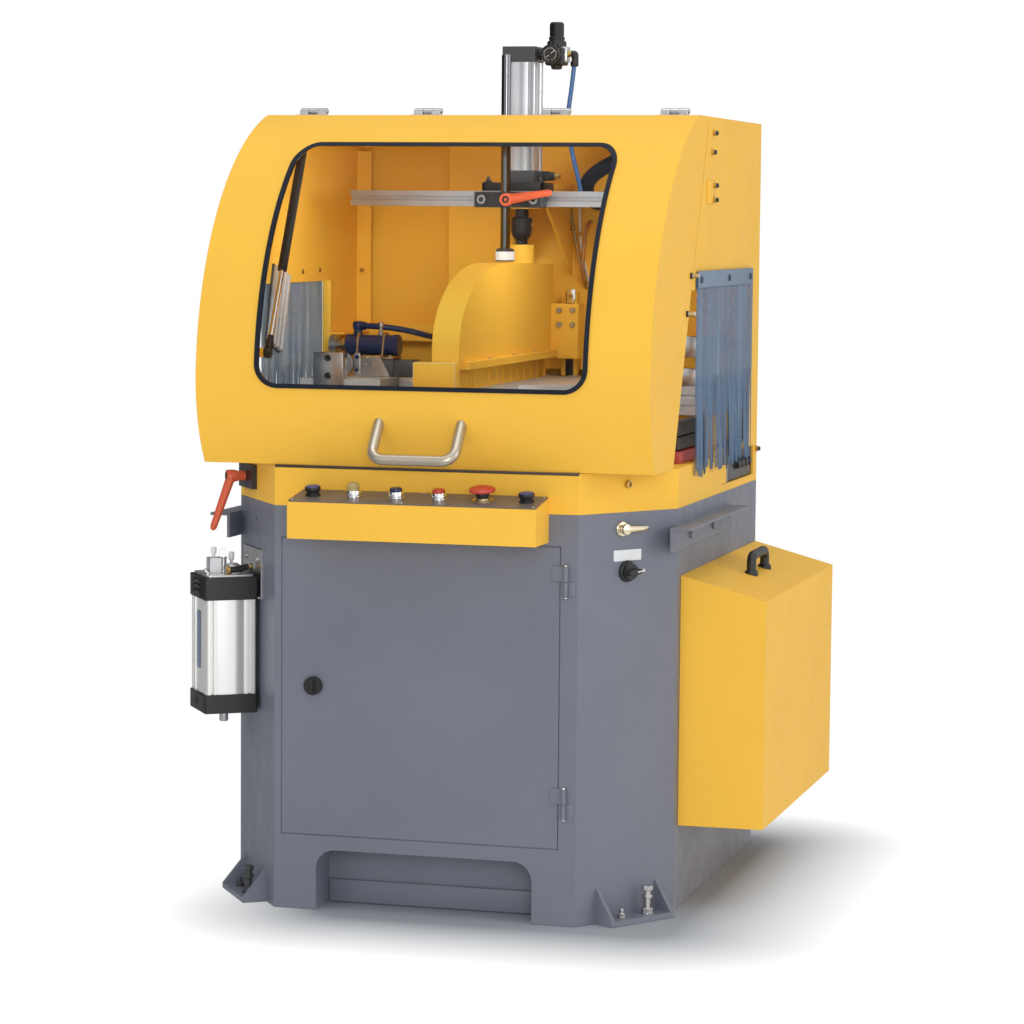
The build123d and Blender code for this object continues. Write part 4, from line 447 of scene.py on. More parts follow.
def pipe(route, radius, bend, tone=0, steps=18, place=ORIGIN):
    """Round pipe along a route whose corners are rounded."""
    points = [place @ (Vector(point) * MM) for point in rounded(route, bend, 6, closed=False)]
    side = None
    rings = []
    for index, point in enumerate(points):
        ahead = (points[min(index + 1, len(points) - 1)] - points[max(index - 1, 0)]).normalized()
        side = facing(ahead).col[0] if side is None else (side - ahead * side.dot(ahead)).normalized()
        up = ahead.cross(side)
        rings.append([draft.verts.new(point + (side * x + up * y) * radius * MM) for x, y in circle(1, steps)])
    hull(rings, tone)


SOCKET = ((1, 0), (1, 0.8), (0.88, 0.95), (0.58, 0.95), (0.52, 0.4), (0, 0.36))
PAN = ((1, 0), (0.98, 0.2), (0.82, 0.42), (0.5, 0.56), (0.2, 0.6), (0.16, 0.36), (0, 0.36))
HEX = ((1.35, 0), (1.35, 0.16), (1.2, 0.2), (0, 0.2))


def bolt(point, axis, radius, head, tone=0):
    """Screw head standing on a face, its profile given in radii."""
    if head is HEX:
        prism(circle(radius, 6), seat(point, axis), 0.18 * radius, 0.85 * radius, 0.1 * radius, tone)
    lathe(point, axis, [(r * radius, h * radius) for r, h in head], tone, 20)


def bolts(points, axis, radius, head, tone=0):
    """Like screw heads at points (x, d, z)."""
    for point in points:
        bolt(spot(*point), axis, radius, head, tone)


def stud(point, axis, reach=9.5):
    """Stud that stands out of a nut, each with its own material number."""
    prism(circle(6.4, 6), seat(point, axis), 0, 4.6, 0.6, 0)
    lathe(point, axis, ((4.4, 4), (4.4, reach - 1.4), (3.4, reach), (0, reach)), 1, 16)


def side_studs(places, reach=9.5):
    """Studs at (d, z) on both sides."""
    for side in (-1, 1):
        for depth, z in places:
            stud(spot(side * HALF_WIDTH, depth, z), RIGHT * side, reach)


def loft(stations, steps):
    """Skin through ellipses given as (centre, side vector, up vector) in metres."""
    rings = []
    for centre, side, up in stations:
        rings.append([draft.verts.new(centre + side * x + up * y) for x, y in circle(1, steps)])
    hull(rings, 0)


def piece(name, materials, replaced=None, body="base", angle=32):
    """Object made of the draft, riding on a body; it may stand for a CAD node."""
    mesh = bpy.data.meshes.new(name)
    bmesh.ops.recalc_face_normals(draft, faces=draft.faces)
    draft.to_mesh(mesh)
    draft.clear()
    for material in materials:
        mesh.materials.append(material)
    mesh.polygons.foreach_set("use_smooth", [True] * len(mesh.polygons))
    mesh.set_sharp_from_angle(angle=math.radians(angle))
    obj = added(name, mesh)
    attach(obj, body)
    if replaced:
        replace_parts(obj, replaced)
    return obj


# Cords: the supply hose, the conduit, the copper line and the vise hose, on the CAD routes
def cord(name, route, radius, material):
    """Hose on a NURBS curve with the route's points as its control points."""
    data = bpy.data.curves.new(name, "CURVE")
    data.dimensions = "3D"
    data.bevel_depth = radius * MM
    data.bevel_resolution = 6
    data.resolution_u = 16
    data.use_fill_caps = True
    spline = data.splines.new("NURBS")
    spline.points.add(len(route) - 1)
    for point, place in zip(spline.points, route):
        point.co = (*spot(*place), 1)
    spline.order_u = 3
    spline.use_endpoint_u = True
    data.materials.append(material)
    obj = added(name, data)
    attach(obj, "base")
    return obj


SUPPLY_ROUTE = (
    (104, 640, 1571.5), (100, 640, 1530), (90, 640, 1462), (100, 641, 1398), (116, 648, 1332),
    (116, 660, 1300), (51.8, 666, 1300),
)
CONDUIT_ROUTE = ((214, 700, 1456.5), (214, 700, 1400), (112, 700, 1350), (108, 745, 1300), (108, 849.5, 1300))
COPPER_ROUTE = ((88, 849.5, 1262), (88, 806, 1262), (80, 806, 1140), (80, 849.5, 1140))
VISE_ROUTE = ((-328.5, 640, 1050), (-262, 640, 1050), (-170, 700, 1020), (-170, 849.5, 1020))
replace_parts(cord("supply_hose", SUPPLY_ROUTE, 4.5, HOSE), "air_hoses")
cord("conduit", CONDUIT_ROUTE, 15, RUBBER)
cord("copper_line", COPPER_ROUTE, 4, COPPER)
cord("vise_hose", VISE_ROUTE, 6, NAVY)

# Strip curtains: one film each, whole at the top and cut into strips below
CURTAIN_X, HANG_X, CLEAR_X = 424.7, 426.2, 423.6
CURTAIN_FRONT, CURTAIN_TOP, BAR_LOW, SLIT_TOP, CURTAIN_LOW = 314, 1169, 1142, 978, 800
FILM_THICK, STRIP_TAPER = 0.7, 0.42
MOST_TWIST, MOST_LEAN, LIFT_RANGE, UNEVEN = 0.7, 6, (-1, 4), 12
STRIP_COLUMNS, UPPER_ROWS, LOWER_ROWS = 2, 12, 12


def curtain(name, node_name, side, rear, strips, seed):
    """Film that hangs from its bar, waving a little, its strips twisted and uneven."""
    draw = random.Random(seed)
    columns = strips * STRIP_COLUMNS
    width = rear - CURTAIN_FRONT
    phases = [draw.uniform(0, math.tau) for _ in range(3)]

    def sway(share, z):
        drop = max(0, (BAR_LOW - z) / (BAR_LOW - CURTAIN_LOW))
        wave = math.sin(share * 9 + phases[0]) + 0.6 * math.sin(share * 21 + phases[1] + 2 * drop)
        return 2.6 * drop * wave + 1.4 * drop * drop * math.sin(share * 40 + phases[2])

    def place(share, z, out=0, along=0):
        x = max(CLEAR_X, HANG_X + sway(share, z) + out) if z < BAR_LOW else CURTAIN_X
        return spot(side * x, CURTAIN_FRONT + share * width + along, z)

    rows = []
    for row in range(UPPER_ROWS + 1):
        z = CURTAIN_TOP + (SLIT_TOP - CURTAIN_TOP) * row / UPPER_ROWS
        rows.append([draft.verts.new(place(c / columns, z)) for c in range(columns + 1)])
    skin(rows, closed=False)
    for strip in range(strips):
        twist = draw.uniform(-MOST_TWIST, MOST_TWIST)
        lean = draw.uniform(-MOST_LEAN, MOST_LEAN)
        lift = draw.uniform(*LIFT_RANGE)
        bottom = CURTAIN_LOW + draw.uniform(-UNEVEN, UNEVEN)
        first = strip * STRIP_COLUMNS
        rows_here = [rows[-1][first : first + STRIP_COLUMNS + 1]]
        for row in range(1, LOWER_ROWS + 1):
            t = row / LOWER_ROWS
            z = SLIT_TOP + (bottom - SLIT_TOP) * t
            line = []
            for c in range(STRIP_COLUMNS + 1):
                offset = (c / STRIP_COLUMNS - 0.5) * width / strips * (1 - STRIP_TAPER * t)
                along = offset * math.cos(twist * t) + lean * t * t
                out = offset * math.sin(twist * t) + lift * t
                line.append(draft.verts.new(place((strip + 0.5) / strips, z, out, along)))
            rows_here.append(line)
        skin(rows_here, closed=False)
    obj = piece(name, [FILM], node_name, angle=60)
    solid = obj.modifiers.new("thickness", "SOLIDIFY")
    solid.thickness = FILM_THICK * MM
    solid.offset = 0


curtain("curtain_film_left", "curtain_left", -1, 674, 30, 11)
curtain("curtain_film_right", "curtain_right", 1, 834, 42, 12)

# Control panel operators
PANEL_TILT = math.atan2(14, 90)
PANEL_NORMAL = Vector((0, -math.sin(PANEL_TILT), math.cos(PANEL_TILT)))
PLATE_TOP = 2.5
OPERATOR_D, OPERATOR_Z = -45, 765
OPERATORS = (-197, -120, -40, 40, 121, 202)
PLATE_SCREWS = ((-224, -8), (-224, -83), (0, -6), (-18, -84), (224, -8), (224, -83))


def on_plate(x, depth=OPERATOR_D):
    """Point on the control plate's top face."""
    z = OPERATOR_Z + (depth - OPERATOR_D) * math.tan(PANEL_TILT)
    return spot(x, depth, z) + PANEL_NORMAL * PLATE_TOP * MM


def turned(name, body, point, axis, profiles, materials, replaced=None):
    """Piece from turned profiles on one axis, each with its own material."""
    for tone, profile in profiles:
        lathe(point, axis, profile, tone, 40)
    piece(name, materials, replaced, body)


COLLAR = ((15, 0), (15, 1.8), (14.3, 2.6), (13.9, 10.6), (13, 12.6), (12, 12.8), (11.7, 11), (11.7, 0))
PALM_COLLAR = ((13.6, 0), (13.6, 2), (12.8, 2.8), (11.6, 2.8), (11.6, 0))
STOP_RING = ((20.5, 0), (20.5, 1.2), (19.6, 2), (13.6, 2.2), (13.2, 5.5), (12.4, 6), (11.4, 6), (11.4, 0))
PALM = ((10.8, 0.5), (10.9, 7), (13.2, 8), (14.3, 9.8), (14.5, 14.6), (13.9, 16), (12.9, 16.2), (12.7, 15.4))
PALM_CAP = ((12.6, 15.2), (12.6, 16.6), (11.8, 17.3), (7, 17.8), (0, 18))
BUTTON = ((10.9, 0.5), (10.9, 4.6), (11.3, 5), (11.3, 15.6), (10.9, 17.4), (9.6, 18.4), (5, 18.8), (0, 18.9))
LENS = ((11.4, 4), (11.4, 17), (11, 20.5), (9.8, 23.4), (7, 25.8), (3.4, 26.9), (0, 27.2))
STOP_NECK = ((10.8, 0.5), (10.9, 10.2), (12.6, 10.7), (12.8, 12), (11.6, 15), (11, 16.5), (0, 16.5))
STOP_HEAD = (
    (10, 14.8), (19, 15.6), (23.2, 17.2), (24, 19.2), (23.6, 21.2), (21.4, 23.4), (14, 25.4), (6, 26.1),
    (0, 26.2),
)
COLLARS = ((PALM_COLLAR, 1), (COLLAR, 0), (COLLAR, 0), (COLLAR, 0), (STOP_RING, 2), (PALM_COLLAR, 1))
PALM_BUTTON = ("black_plastic", ((0, PALM), (1, PALM_CAP)), [PLASTIC, BLUE])
OPERATOR_PIECES = (
    (0, "start_button_left_palm", "start_button_left", *PALM_BUTTON),
    (5, "start_button_right_palm", "start_button_right", *PALM_BUTTON),
    (1, "pilot_lens", "pilot_lamp", "amber_plastic", ((0, LENS),), [AMBER]),
    (2, "blue_cap", "push_button_blue", "blue_plastic", ((0, BUTTON),), [NAVY]),
    (3, "red_cap", "push_button_red", "red_plastic", ((0, BUTTON),), [RED]),
    (4, "stop_mushroom", "emergency_stop", "red_plastic", ((0, STOP_HEAD), (1, STOP_NECK)), [RED, PLASTIC]),
)
for x, (profile, tone) in zip(OPERATORS, COLLARS):
    lathe(on_plate(x), PANEL_NORMAL, profile, tone, 40, ring_shaped=True)
for x, depth in PLATE_SCREWS:
    bolt(on_plate(x, depth), PANEL_NORMAL, 2.6, PAN, 3)
piece("operator_collars", [CHROME, PLASTIC, ZINC, STEEL], "button_bezels")
for number, name, node_name, slot_name, profiles, materials in OPERATOR_PIECES:
    body = "base" if node_name == "pilot_lamp" else node_name
    turned(name, body, on_plate(OPERATORS[number]), PANEL_NORMAL, profiles, materials, node_name)

# Clamp cylinder with its caps
AXIS_D = 640
AXIS = upright(0, AXIS_D)
BRACKET_TOP, TUBE_LOW, TUBE_HIGH, CAP_TOP = 1337, 1361, 1572, 1602
TUBE_SIDE = (
    (-0.97, 0.97), (-0.93, 1), (-0.80, 1), (-0.785, 0.88), (-0.70, 0.88), (-0.685, 0.985), (-0.575, 0.985),
    (-0.56, 0.92), (-0.40, 0.955), (-0.20, 0.985), (0, 0.995), (0.20, 0.985), (0.40, 0.955), (0.56, 0.92),
    (0.575, 0.985), (0.685, 0.985), (0.70, 0.88), (0.785, 0.88), (0.80, 1), (0.93, 1),
)


def extruded(wide, deep):
    """Outline of a grooved tube profile: bulged faces between rails, four sides alike."""
    outline = []
    for c, s in ((1, 0), (0, 1), (-1, 0), (0, -1)):
        outline += [((along * c + out * s) * wide, (along * s - out * c) * deep) for along, out in TUBE_SIDE]
    return outline


prism(extruded(32.6, 32.6), AXIS, TUBE_LOW, TUBE_HIGH, 0.1)
piece("cylinder_profile", [TUBE], "cylinder_tube", angle=24)

for low, high in ((BRACKET_TOP, TUBE_LOW), (TUBE_HIGH, CAP_TOP)):
    prism(rectangle(67, 67, 2.5), AXIS, low, high, 1)
blocks(
    ((-62, 570, 1320.3), (62, 575.7, BRACKET_TOP), 0.8, 1),
    ((-62, 570, 1335.2), (62, 650, BRACKET_TOP), 0.6, 1),
    ((-62, 570, 1320.3), (-55.3, 650, BRACKET_TOP), 0.8, 1),
    ((55.3, 570, 1320.3), (62, 650, BRACKET_TOP), 0.8, 1),
)
for x in (-53, 53):
    bolt(spot(x, 584, BRACKET_TOP), UP, 6, HEX, 1)
    lathe(spot(x, 584, BRACKET_TOP + 4), UP, ((3.2, 0), (3.2, 6.5), (2.4, 7.5), (0, 7.5)), 0, 14)
piece("cylinder_ends", [DARK, BLACK], "cylinder_caps")

# Regulator with its gauge and fittings
REG_X, PORT_Z, LOW_PORT_Z = 68, 1588, 1350
GAUGE_X, GAUGE_D, GAUGE_Z = 66, 622, 1586
REG_NECK = ((16.5, 0), (19.5, 2), (19.5, 11), (17.5, 14), (15, 15), (15, 17.2))
GAUGE = ((6, 0), (6, 12), (15, 13), (18.5, 16), (18.5, 27), (17.4, 28), (16.4, 27.6), (16.2, 25.6), (0, 25.6))
TICKS, TICK_TURN, TICK_START, TICK_IN = 25, 11.25, -45, 11
lathes(
    RIGHT,
    ((33.4, AXIS_D, PORT_Z), ((11, 0), (11, 6), (9, 7), (9, 20))),
    ((92, AXIS_D, PORT_Z), ((6.4, 0), (6.4, 3), (5.2, 3.6), (5.2, 8)), 2, 20),
    ((33.4, AXIS_D, LOW_PORT_Z), ((10, 0), (10, 13), (8, 14), (8, 17))),
    ((50.4, AXIS_D, LOW_PORT_Z), ((9, 0), (9, 5), (7.5, 6)), 2, 6),
    ((55.4, AXIS_D, LOW_PORT_Z), ((8.5, 0), (8.5, 10), (6.5, 12))),
    ((66, AXIS_D, LOW_PORT_Z), ((6.5, 0), (6.5, 5), (5, 6), (5, 11), (3.4, 12), (0, 12)), 2, 20),
)
prism(rectangle(40, 38, 7), upright(REG_X, AXIS_D), 1566, 1600, 2.5)
lathe(spot(REG_X, AXIS_D, 1599), UP, REG_NECK, 0, 64, flutes=12, flute=2.2)
lathe(spot(REG_X, AXIS_D, 1558), UP, ((6, 0), (10, 1), (12, 8.5)))
blocks(((79, 627, 1572), (92, 653, 1602), 2, 1), ((40, 631, 1341), (56, 649, 1360), 2))
pipe(((98, AXIS_D, PORT_Z), (105, AXIS_D, PORT_Z), (105, AXIS_D, 1566)), 7, 6)
lathe(spot(104, AXIS_D, 1573), DOWN, ((8, 0), (8, 7), (7, 9), (5.2, 9.4)))
lathes(
    FRONT,
    ((GAUGE_X, GAUGE_D, GAUGE_Z), GAUGE, 0, 48),
    ((GAUGE_X, GAUGE_D - 25.8, GAUGE_Z), ((2, 0), (2, 1.4), (1.4, 1.8), (0, 1.8)), 0, 16),
)
dial = seat(spot(GAUGE_X, GAUGE_D - 25.7, GAUGE_Z), FRONT)
for tick in range(TICKS):
    end = TICK_IN + (3.4 if tick % 6 == 0 else 2)
    box(spun(dial, TICK_START + tick * TICK_TURN), (TICK_IN, -0.35, 0), (end, 0.35, 0.3), 0.1, 3)
for angle in (-70, -110):
    box(spun(dial, angle), (TICK_IN, -0.8, 0), (12.6, 0.8, 0.3), 0.1, 3)
box(spun(dial, 38), (-9, -0.55, 0.5), (13, 0.55, 1), 0.15, 3)
piece("regulator_body", [PLASTIC, CASTING, BRASS, MARK], "regulator")

KNOB_Z, KNOB_RIBS = 1616, 24
KNOB = (
    (15.4, 0.6), (15.8, 2), (15.8, 4.6), (13.2, 6), (13.2, 31), (12, 33.4), (10.2, 34), (9.8, 33.2), (0, 33.2),
)
lathe(spot(REG_X, AXIS_D, KNOB_Z), UP, KNOB, 0, 32)
for rib in range(KNOB_RIBS):
    turn = spun(upright(REG_X, AXIS_D, KNOB_Z), 360 * rib / KNOB_RIBS)
    box(turn, (12.8, -0.7, 7), (13.9, 0.7, 30), 0.3)
piece("regulator_grip", [PLASTIC], "regulator_knob", body="regulator_knob")

# Piston joint, stop rod band, clamp block screws
JOINT = (
    (10, 0), (13.5, 3), (18, 9), (20.4, 17), (20.8, 22), (20.8, 42), (20, 44.5), (15, 45.5), (13.4, 46.5),
    (13.4, 63), (12.4, 64.4), (10, 64.4),
)
lathes(
    UP,
    ((0, AXIS_D, 1224), JOINT, 0, 40),
    ((0, AXIS_D, 1222), ((7.2, 0), (7.2, 5), (6, 5)), 1, 20),
    ((0, AXIS_D, 1287), ((9.8, 0), (9.8, 133)), 1, 32),
)
prism(circle(12.5, 6), AXIS, 1216, 1224, 0.8)
lathe(spot(18.5, AXIS_D, 1256), RIGHT, ((4, 0), (4, 3.2), (2.2, 3.4), (2, 1.6), (0, 1.6)), 1, 16)
piece("floating_joint", [BLACK, CHROME], "piston_rod", body="piston_rod")

BAND = (
    (0, ((18.4, 0.4), (18.4, 2), (18.2, 2.4))),
    (1, ((18.5, 2.4), (18.5, 18.6), (18.3, 18.8))),
    (0, ((18.2, 18.8), (17.6, 21.6), (15.5, 24.6), (10.4, 25.4), (9.6, 25.4))),
)
turned("stop_rod_band", "stop_rod", spot(0, 520, 1184), UP, BAND, [DARK, LABEL])

CLAMP_SCREW = ((9, 0), (9, 5.4), (8.2, 6.4), (5, 6.4), (4.6, 2.4), (0, 2.2))
lathes(FRONT, *[((x, 500.4, 1303), CLAMP_SCREW, 0, 28) for x in (-42, 62)])
piece("clamp_screws", [STEEL])

# Orange clamp levers
LEVER_SCREW = ((7, 0), (7, 4.6), (6.4, 5), (3.6, 5), (3.2, 2.4), (0, 2.4))


def lever(name, body, hub, axis, tip, profile, arm_foot, arm):
    """Lever with a turned hub and a tapered arm that ends in a small bulb."""
    lathe(hub, axis, profile, 0, 32)
    lathe(hub + axis * (profile[-2][1] - 4) * MM, axis, LEVER_SCREW, 1)
    start = hub + axis * arm_foot * MM
    ahead = (tip - start).normalized()
    side = ahead.cross(axis).normalized()
    flat = side.cross(ahead)
    loft([(start.lerp(tip, share), side * wide * MM, flat * thick * MM) for share, wide, thick in arm], 24)
    piece(name, [ORANGE, PLASTIC], body, body)


ARM = (
    (-0.08, 4, 3), (-0.04, 8, 6), (0, 10.4, 7.4), (0.15, 10, 7.4), (0.5, 8.2, 6.8), (0.85, 6.6, 6.2),
    (0.93, 7, 6.4), (0.98, 6.2, 5.6), (1.02, 4, 3.6), (1.035, 1.2, 1.2),
)
LOCK_ARM = (
    (-0.10, 4, 3), (-0.06, 8.4, 6), (0, 12, 8.4), (0.15, 11.6, 8.2), (0.5, 9.6, 7.4), (0.85, 7.8, 6.6),
    (0.94, 7.6, 6.4), (0.99, 6.4, 5.6), (1.02, 4, 3.6), (1.035, 1.2, 1.2),
)
CLAMP_HUB = ((10, 0.4), (10.4, 10), (12.4, 14), (12.8, 20), (12.6, 28.5), (11.2, 30.4), (0, 30.4))
LOCK_HUB = ((9, 0.6), (9.4, 14), (11.4, 20), (11.8, 34), (10.6, 36.4), (0, 36.4))
OUTWARD = Vector((-0.818, -0.575, 0)).normalized()
lock_face = spot(-384.6, 140.4, 784) + OUTWARD * 10 * MM
lock_tip = lock_face + OUTWARD * 62 * MM - UP * 98 * MM
lever("clamp_lever_arm", "clamp_lever", spot(14, 500, 1303), FRONT, spot(102, 475, 1317), CLAMP_HUB, 22, ARM)
lever("mitre_lever_arm", "mitre_lock_lever", lock_face, OUTWARD, lock_tip, LOCK_HUB, 27, LOCK_ARM)

# Air reservoir, in a frame that points out from the left chamfer
TANK_AXES = Matrix((OUTWARD, UP.cross(OUTWARD), UP)).transposed().to_4x4()
TANK = upright(-417.6, 88.1) @ TANK_AXES
TANK_LOW, TANK_HIGH, TANK_TOP = 384, 560, 602


def on_tank(u, v, z):
    """Point in the reservoir's own directions."""
    return TANK @ (Vector((u, v, z)) * MM)


prism(extruded(48, 55), TANK, TANK_LOW - 0.5, TANK_HIGH + 0.5, 0.1)
box(TANK, (47.5, -10, 430), (48.4, 11, 536), 0.2, 1)
piece("reservoir_profile", [BRIGHT, BLUE_STRIP], "reservoir_body", angle=24)

DRAIN = ((11, 0), (11, 6), (8.4, 7), (8.4, 20), (7, 22.5), (4, 23), (3.4, 20), (0, 20))
# Rows of foot (u, v, z), axis, profile, tone and steps
RESERVOIR_FITTINGS = (
    ((50.7, -8, 366), OUTWARD, ((6.5, 0), (6.5, 1.5), (5.5, 2.2), (3.4, 2.2), (3, 0.8), (0, 0.8)), 0, 20),
    ((19, -2, 633), UP, ((3, 0), (3, 8), (5, 9), (5.4, 18), (4.4, 20.5), (0, 21)), 2, 20),
    ((0, -6, 605), UP, ((8.5, 0), (8.5, 6), (6.6, 7), (6.6, 27), (8, 28), (8, 30)), 1, 24),
    ((0, -6, 635), UP, ((7.4, 0), (7.4, 9), (6.6, 13), (4.4, 16), (0, 17.2)), 3, 24),
    ((-17, -10, 605), UP, ((3, 0), (3, 22), (5, 24), (5.4, 35), (4.4, 38), (0, 38.4)), 2, 20),
    ((-14, 12, 605), UP, ((17, 0), (17, 9), (14.5, 15), (9, 19), (0, 20)), 1, 32),
    ((-4, 27, 613), OUTWARD, ((7.5, 0), (7.5, 6), (5, 7), (0, 7)), 4, 8),
    ((-44, 18, 617), -OUTWARD, ((6.5, 0), (6.5, 5), (4, 6), (0, 6)), 4, 8),
    ((34, 20, 606), (OUTWARD + UP).normalized(), ((4, 0), (4, 10), (3, 12), (0, 12)), 1, 16),
    ((0, 0, 349.5), DOWN, DRAIN, 1, 24),
)
for low, high in ((349, TANK_LOW), (TANK_HIGH, TANK_TOP)):
    prism(rectangle(102, 116, 6), TANK, low, high, 1.4)
prism(rectangle(90, 102, 8), TANK, TANK_TOP, TANK_TOP + 4, 0.8, 1)
for z in (570, 580, 590):
    box(TANK, (50.5, -18, z), (54, 32, z + 5.5))
blocks(
    ((50.5, 32, 566), (53.5, 40, 598)),
    ((7, -12, 605.5), (29, 10, 633), 1.6, 1),
    ((-56.8, -62, TANK_HIGH), (-54.3, 62, 652), 0.6, 5),
    ((-56.8, -48, TANK_HIGH), (-40, 48, 563), 0.6, 5),
    place=TANK,
)
for foot, axis, profile, tone, steps in RESERVOIR_FITTINGS:
    lathe(on_tank(*foot), axis, profile, tone, steps)
pipe(((-2, 27, 613), (-14, 27, 613), (-40, 20, 617)), 6, 8, place=TANK)
for v in (-40, 40):
    bolt(on_tank(-54.3, v, 632), OUTWARD, 4.6, HEX, 1)
RESERVOIR_TONES = [PLASTIC, CASTING, LABEL, WINDOW, BRASS, STEEL]
piece("reservoir_ends", RESERVOIR_TONES, "reservoir_caps")

# Saw inside: block and walls on the turntable, guide sleeve, carriage plate
ON_TURNTABLE, ON_TABLE, PLATE_D, WALL_RIBS = 950.1, 950.2, 775.4, 13
blocks(
    ((-53.3, 91.7, ON_TURNTABLE), (27.3, 120.3, 1004.3), 1.6),
    ((-14.5, 150, ON_TURNTABLE), (-9, 780, 1010), 0.8),
    ((9, 150, ON_TURNTABLE), (14.5, 780, 1010), 0.8),
)
for rib in range(WALL_RIBS):
    blocks(((14.2, 160 + rib * 50, ON_TURNTABLE), (17.2, 166 + rib * 50, 988), 0.6))
piece("turntable_walls", [YELLOW], body="turntable")

blocks(
    ((39.75, 805.72, ON_TABLE), (70.25, 830.2, 1120.25), 0.1),
    ((49, 805.62, 951), (65, 805.8, 1119), 0.05, 1),
    ((34, 796, ON_TURNTABLE), (76, 834, 951.6), 0.4, 2),
)
piece("guide_sleeve", [YELLOW, BLACK, STEEL], body="turntable")

blocks(
    ((25.6, PLATE_D, 986.6), (81.4, 780.2, 1096.6)),
    ((25.8, 145.4, 998.6), (39.6, 783.6, 1005), 1.2),
    ((55, 786, 1097.2), (73, 790, 1126), 0.8, 2),
)
bolts([(x, PLATE_D, z) for x in (43, 71) for z in (1055, 1084)], FRONT, 5.6, SOCKET, 1)
bolts([(64, 786, 1112)], FRONT, 4.6, PAN, 3)
bolts([(33.5, depth, 1005) for depth in (300, 470, 620)], UP, 3.6, PAN, 1)
piece("carriage_plate", [YELLOW, STEEL, CHROME, BRASS], body="blade_guard")

# Brass lines down the column
BRASS_ROUTE = ((46, 849.6, 1296), (48, 826, 1291), (63, 825, 1222), (79, 825, 1150), (80, 849.6, 1128))
PALE_ROUTE = ((72, 849.6, 1296), (68, 832, 1290), (72, 831, 1214), (84, 831, 1160), (84, 849.6, 1140))
UNION = ((3, 0), (5.4, 1), (5.4, 9), (3, 10))
for route, radius, tone in ((BRASS_ROUTE, 3.2, 0), (PALE_ROUTE, 2.6, 1)):
    pipe(route, radius, 12, tone, 14)
for foot in ((58, 825, 1245), (66.5, 825, 1206), (71, 831, 1232)):
    lathe(spot(*foot), (-0.2, 0, 1), UNION, 2, 8)
piece("brass_lines", [ZINC, LABEL, BRASS])

# Gas spring sockets
SPRING_X, SPRING_TOP, SPRING_LOW = 377, (430, 1432), (215, 1011)
SPRING_SOCKET = ((6, 0), (8, 2), (8, 14), (6.4, 18), (5.6, 26), (5.6, 27))
SPRING_EYE = ((8, 0), (10.8, 1.5), (10.8, 12.5), (8, 14))
for name, body, end, other in (
    ("spring_top_sockets", "gas_spring_tubes", SPRING_TOP, SPRING_LOW),
    ("spring_low_sockets", "gas_spring_rods", SPRING_LOW, SPRING_TOP),
):
    for x in (-SPRING_X, SPRING_X):
        here = spot(x, *end)
        along = (spot(x, *other) - here).normalized()
        lathe(here + along * 8 * MM, along, SPRING_SOCKET)
        lathe(here - RIGHT * 7 * MM, RIGHT, SPRING_EYE)
    piece(name, [PLASTIC], body=body)

# Housing inside: ledge lip, flange of the left opening, ribbed strip
WALL_X, STRIP_RIBS = -419.8, 4
blocks(((-417, 872, 1012), (-214, 876, 1048), 0.8), ((WALL_X, 664, 951), (-405, 668, 1140), 0.8))
piece("inner_flanges", [YELLOW])

strip = upright(WALL_X, 375, 1090) @ Matrix.Rotation(math.radians(-17), 4, "X")
box(strip, (0, -42, -78), (4, 42, 78), 0.6)
for rib in range(STRIP_RIBS):
    box(strip, (3.6, -40 + rib * 21, -76), (14, -29 + rib * 21, 76), 1.4, 1)
bolts(((WALL_X, 536, 1159), (WALL_X, 640, 1160)), RIGHT, 5, PAN, 2)
bolts([(-400, 849.6, 1159)], FRONT, 4.6, PAN, 2)
piece("opening_strip", [DARK, IRON, BRASS])

# Curtain bars with rivets
BAR_IN, BAR_OUT, RIVET_Z = 426.3, 429.3, 1157
for side, rear in ((-1, 662), (1, 822)):
    low, high = sorted((side * BAR_IN, side * BAR_OUT))
    blocks(((low, 318, BAR_LOW), (high, rear, 1173), 0.6))
    depths = (336, 0.5 * (354 + rear), rear - 30)
    bolts([(side * BAR_OUT, depth, RIVET_Z) for depth in depths], RIGHT * side, 7, PAN, 2)
    bolts([(side * BAR_IN, depth, RIVET_Z) for depth in depths], LEFT * side, 3.6, PAN, 1)
piece("curtain_rails", [BLUE_STRIP, STEEL, NAVY], "curtain_bars")

# Studs and small plates on the outside
PAD_X = HALF_WIDTH + 3.4
side_studs(((456, 1430), (444, 1394)))
for point in ((HALF_WIDTH, 905, 807), (PAD_X, 450, 1305), (PAD_X, 450, 1332)):
    stud(spot(*point), RIGHT)
bolts([(FRONT_HALF + 66, 94, 793)], CHAMFER_OUT, 7, SOCKET)
blocks(((HALF_WIDTH, 402, 1298), (PAD_X, 470, 1340), 0.8, 2))
piece("outer_studs", [BRASS, BLACK, YELLOW])
side_studs(((272, 1165), (242, 1096)), 17.4)
piece("hood_studs", [BLACK, STEEL], body="hood")

# Painted shadow: a dark strip in the gap under the hood's front edge, standing in for the shade that falls
# there
blocks(((-FRONT_HALF, -1, 812.5), (FRONT_HALF, 3, 817.5), 0.4))
piece("hood_gap_painted_shadow", [BROWN])

